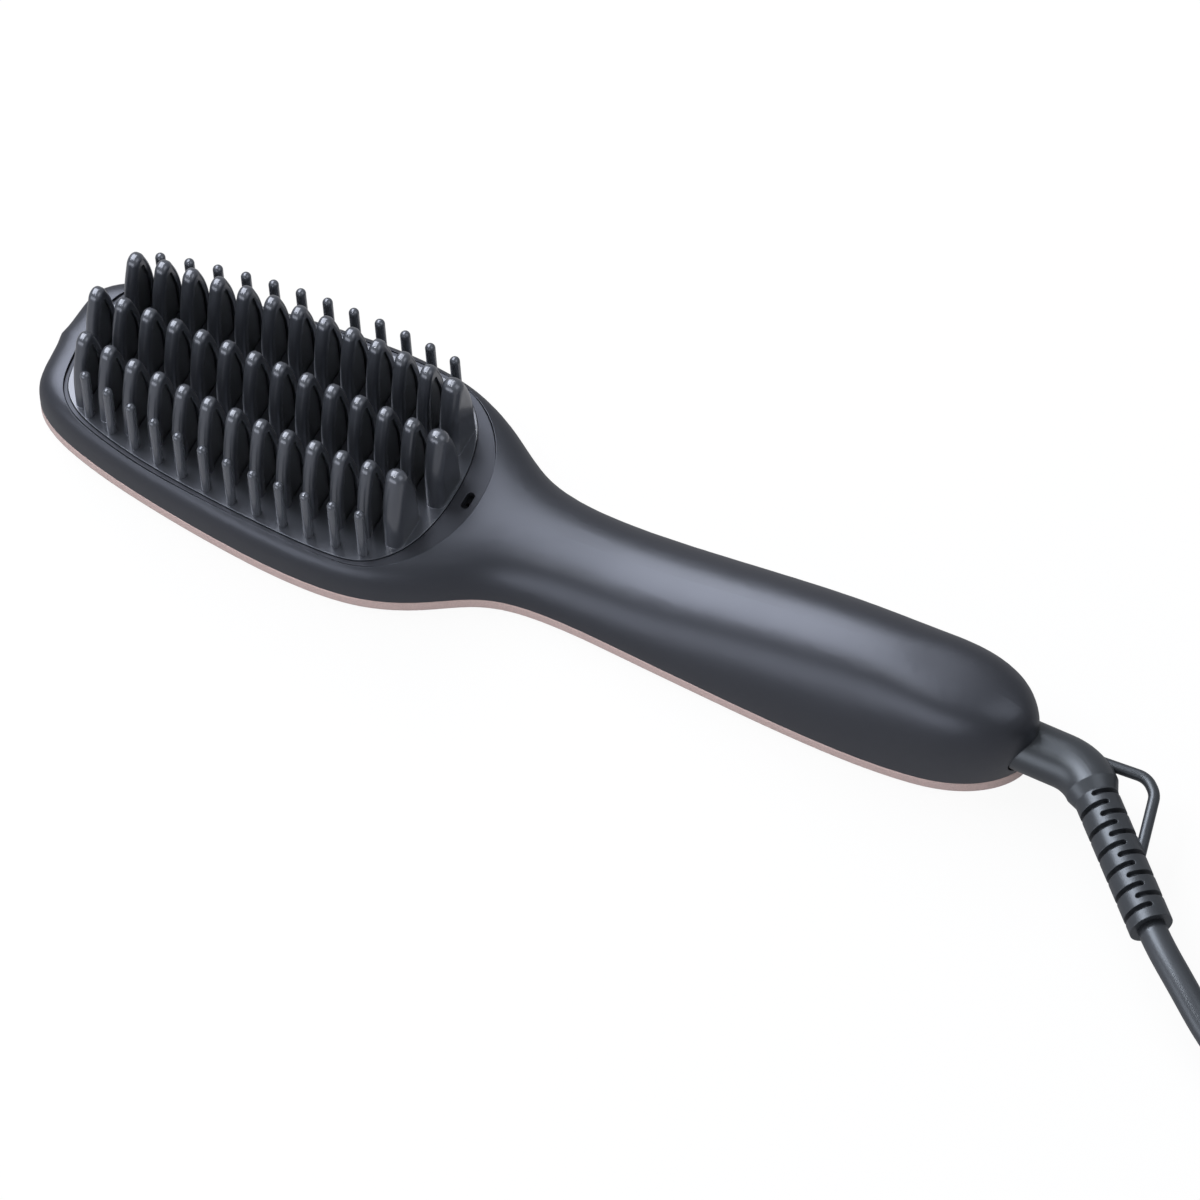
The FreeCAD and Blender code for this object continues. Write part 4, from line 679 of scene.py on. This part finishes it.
def strap_tongue(raw):
    upwards = Vector((0.0, 0.0, 1.0))
    rings = []
    for k in range(TONGUE_STEPS + 1):
        along = k / TONGUE_STEPS
        risen = min(1.0, along / TONGUE_ENDS)
        narrowed = max(0.0, 1 - (1 - along) / TONGUE_ENDS)
        lift = TONGUE_RISE * (1 - (1 - risen) ** 2) - TONGUE_SUNK
        width = (STRAP_WIDTH - TONGUE_NARROWER) * (1 - narrowed ** 2 * TONGUE_TIP)
        x = tie_low.x + TONGUE_START + TONGUE_LENGTH * along
        place = Vector((x, 0.0, tie_high.z + lift))
        rings.append(strap_section(place, upwards, width, TONGUE_THICK))
    ring_skin(raw, rings)


def strap_keeper(raw):
    x = tie_low.x + KEEPER_PLACE
    centre = Vector((x, tie_middle, tie_high.z))
    turns = [math.tau * m / KEEPER_SIDES for m in range(KEEPER_SIDES)]
    rings = []
    for k in range(KEEPER_POINTS):
        a = math.tau * k / KEEPER_POINTS
        square = min(1 / max(abs(math.cos(a)), abs(math.sin(a))), KEEPER_SQUARE)
        place = Vector((
            x, tie_middle + KEEPER_HALF_WIDTH * math.cos(a) * square,
            tie_high.z + KEEPER_RISE + KEEPER_HALF_HEIGHT * math.sin(a) * square))
        band = Vector((KEEPER_HALF_BAND, 0.0, 0.0))
        thick = (place - centre).normalized() * KEEPER_HALF_THICK
        rings.append([place + band * math.cos(b) + thick * math.sin(b) for b in turns])
    ring_skin(raw, rings, closed=True)


def strap(raw):
    strap_band(raw)
    strap_tongue(raw)
    strap_keeper(raw)


tie = new_piece("cord_strap", strap, rubber)
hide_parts("cord_tie")
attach(tie, "brush")


# Plug: a flat two pin mains plug moulded on the cord's end in black rubber, with ribs on its top
# to pull it by, and nickelled brass pins with round ends.
plug_rubber = moulded(
    "plug_rubber", colour=(0.020, 0.020, 0.022), satin=0.42, grain=2600.0, depth=0.00002,
    mottle=0.06, tint=0.15)
wear(plug_rubber, "mains_plug")
nickel = bare_metal(
    "nickelled_pins", colour=(0.66, 0.64, 0.60), satin=0.2, along=(300.0, 7000.0, 7000.0))
wear(nickel, "plug_pins")
RIB_RADIUS = 0.0006
RIB_COUNT = 6
RIB_PITCH = 0.0019
RIB_START = 0.012
RIB_HALF_LENGTH = 0.0092
RIB_SHORTER = 0.00045    # each than the one before, at both ends
RIB_STEPS = 12
RIB_SIDES = 12
RIB_ENDS = 0.9           # thickness that a rib loses towards its ends
plug_low, plug_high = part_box("mains_plug")


def plug_ribs(raw):
    middle = (plug_low[1] + plug_high[1]) / 2
    for i in range(RIB_COUNT):
        x = plug_low[0] + RIB_START + RIB_PITCH * i
        half = RIB_HALF_LENGTH - RIB_SHORTER * i
        path = [
            Vector((x, middle - half + 2 * half * k / RIB_STEPS, plug_high[2]))
            for k in range(RIB_STEPS + 1)]
        rings = tube_rings(path, RIB_RADIUS, RIB_SIDES)
        for k, ring in enumerate(rings):
            share = 1 - abs(2 * k / RIB_STEPS - 1) ** 4 * RIB_ENDS
            rings[k] = [path[k] + (p - path[k]) * share for p in ring]
        ring_skin(raw, rings)


ribs = new_piece("plug_grip_ribs", plug_ribs, rubber)
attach(ribs, "brush")


# Table: a plain white sheet that the brush lies on, pale enough to vanish behind it and to keep
# only a faint shadow. It is clear from below, so that the back can be looked at.
TABLE_HALF = 3.0
TABLE_DROP = 0.0001      # below the brush's back
TABLE_WHITE = (0.86, 0.86, 0.87)
TABLE_SEEN = (1.0, 1.0, 1.0)
TABLE_MIRRORED = (0.31, 0.31, 0.32)
SEEN_GLOW = 0.93         # share of its own light in what the camera sees
MIRRORED_GLOW = 0.95
THROUGH_GLOW = 0.9


def ray_kinds(shade):
    """Whether a ray comes from the camera, off something glossy or through something clear."""
    kinds = ("Is Camera Ray", "Is Glossy Ray", "Is Transmission Ray")
    return [shade.node("LightPath", output=kind) for kind in kinds]


def white_table(name):
    """Matt white under the lamps, which mostly glows by itself where it is seen or mirrored."""
    material, shade = new_finish(name)
    seen, mirrored, through = ray_kinds(shade)
    matt = shade.node("BsdfDiffuse", {}, {"Color": toned(TABLE_WHITE)})
    tone = shade.tones(mirrored, toned(TABLE_SEEN), toned(TABLE_MIRRORED))
    glow = shade.node("Emission", {}, {"Color": tone, "Strength": 1.0})
    share = seen * SEEN_GLOW + mirrored * MIRRORED_GLOW + through * THROUGH_GLOW
    above = shade.node("MixShader", {}, {0: share, 1: matt, 2: glow})
    from_below = shade.node("NewGeometry", output="Backfacing")
    clear = shade.node("BsdfTransparent")
    surface = shade.node("MixShader", {}, {0: from_below, 1: above, 2: clear})
    shade.node("OutputMaterial", {}, {"Surface": surface})
    return material


def flat_sheet(raw):
    place = Matrix.Translation((0.0, 0.0, -TABLE_DROP))
    bmesh.ops.create_grid(raw, x_segments=2, y_segments=2, size=TABLE_HALF, matrix=place)


table = new_piece("table", flat_sheet, white_table("white_sweep"), smooth=False, closed=False)


# Studio: a big soft box above and behind draws the broad light along the grip, and a wide strip
# in front draws the second one along its near side. A weak card lights the tail from above, a
# small lamp puts the sparks on the bristles, and a pale room fills the rest.
COOL_WHITE = (0.94, 0.955, 1.0)
CARD_WHITE = (0.95, 0.97, 1.0)
PLAIN_WHITE = (1.0, 1.0, 1.0)
ROOM_WHITE = (0.96, 0.98, 1.0)
ROOM_FILL = 0.25         # strength of the room's light on matt surfaces
ROOM_SEEN = 0.75         # and what is added to it where it is seen
ROOM_MIRRORED = 0.05
ROOM_THROUGH = 0.65


def set_axes(holder, right, up, back, place):
    """Puts a lamp or a camera at a place, looking away from its back."""
    holder.matrix_world = Matrix((
        (right.x, up.x, back.x, place.x), (right.y, up.y, back.y, place.y),
        (right.z, up.z, back.z, place.z), (0.0, 0.0, 0.0, 1.0)))


def soft_box(name, towards, distance, size, power, colour):
    """A lamp that faces the middle of the brush, as far from it as the distance says."""
    lamp = bpy.data.lights.new(name, "AREA")
    lamp.shape = "RECTANGLE"
    lamp.size, lamp.size_y = size
    lamp.energy = power
    lamp.color = colour
    holder = bpy.data.objects.new(name, lamp)
    bpy.context.scene.collection.objects.link(holder)
    out = Vector(towards).normalized()
    along = Vector((1.0, 0.0, 0.0))
    along = (along - out * along.dot(out)).normalized()
    set_axes(holder, along, out.cross(along), out, out * distance)


soft_box(
    "top_box", towards=(-0.58, 0.27, 0.77), distance=1.2, size=(0.8, 1.40), power=20.0,
    colour=COOL_WHITE)
soft_box(
    "front_strip", towards=(-0.33, -0.92, 0.24), distance=1.3, size=(1.4, 0.80), power=6.5,
    colour=COOL_WHITE)
soft_box(
    "right_card", towards=(0.62, 0.05, 0.78), distance=1.3, size=(1.0, 1.0), power=3.5,
    colour=CARD_WHITE)
soft_box(
    "spark", towards=(-0.30, -0.35, 0.88), distance=1.2, size=(0.05, 0.05), power=0.7,
    colour=PLAIN_WHITE)

world = bpy.data.worlds.new("pale_room")
bpy.context.scene.world = world
world.use_nodes = True
world.node_tree.nodes.clear()
room = Shade(world.node_tree)
seen, mirrored, through = ray_kinds(room)
strength = ROOM_FILL + seen * ROOM_SEEN + mirrored * ROOM_MIRRORED + through * ROOM_THROUGH
air = room.node("Background", {}, {"Color": toned(ROOM_WHITE), "Strength": strength})
room.node("OutputWorld", {}, {"Surface": air})


# Camera: a long lens from above the near side of the grip, turned slightly, far enough away that
# the brush keeps its true proportions.
AZIMUTH = math.radians(31.5)
ELEVATION = math.radians(58.5)
ROLL = math.radians(-4.4)
DISTANCE = 3.1746
AIM_RIGHT = 0.01431      # from the middle of the brush, in the picture
AIM_DOWN = 0.00883
back = Vector((
    math.sin(AZIMUTH) * math.cos(ELEVATION), -math.cos(AZIMUTH) * math.cos(ELEVATION),
    math.sin(ELEVATION)))
level_right = Vector((math.cos(AZIMUTH), math.sin(AZIMUTH), 0.0))
level_up = back.cross(level_right)
right = level_right * math.cos(ROLL) + level_up * math.sin(ROLL)
up = back.cross(right)
aim = right * AIM_RIGHT - up * AIM_DOWN
lens = bpy.data.cameras.new("camera")
lens.lens = 400.0
lens.sensor_width = 36.0
lens.clip_end = 20.0
camera = bpy.data.objects.new("camera", lens)
bpy.context.scene.collection.objects.link(camera)
set_axes(camera, right, up, back, aim + back * DISTANCE)
bpy.context.scene.camera = camera
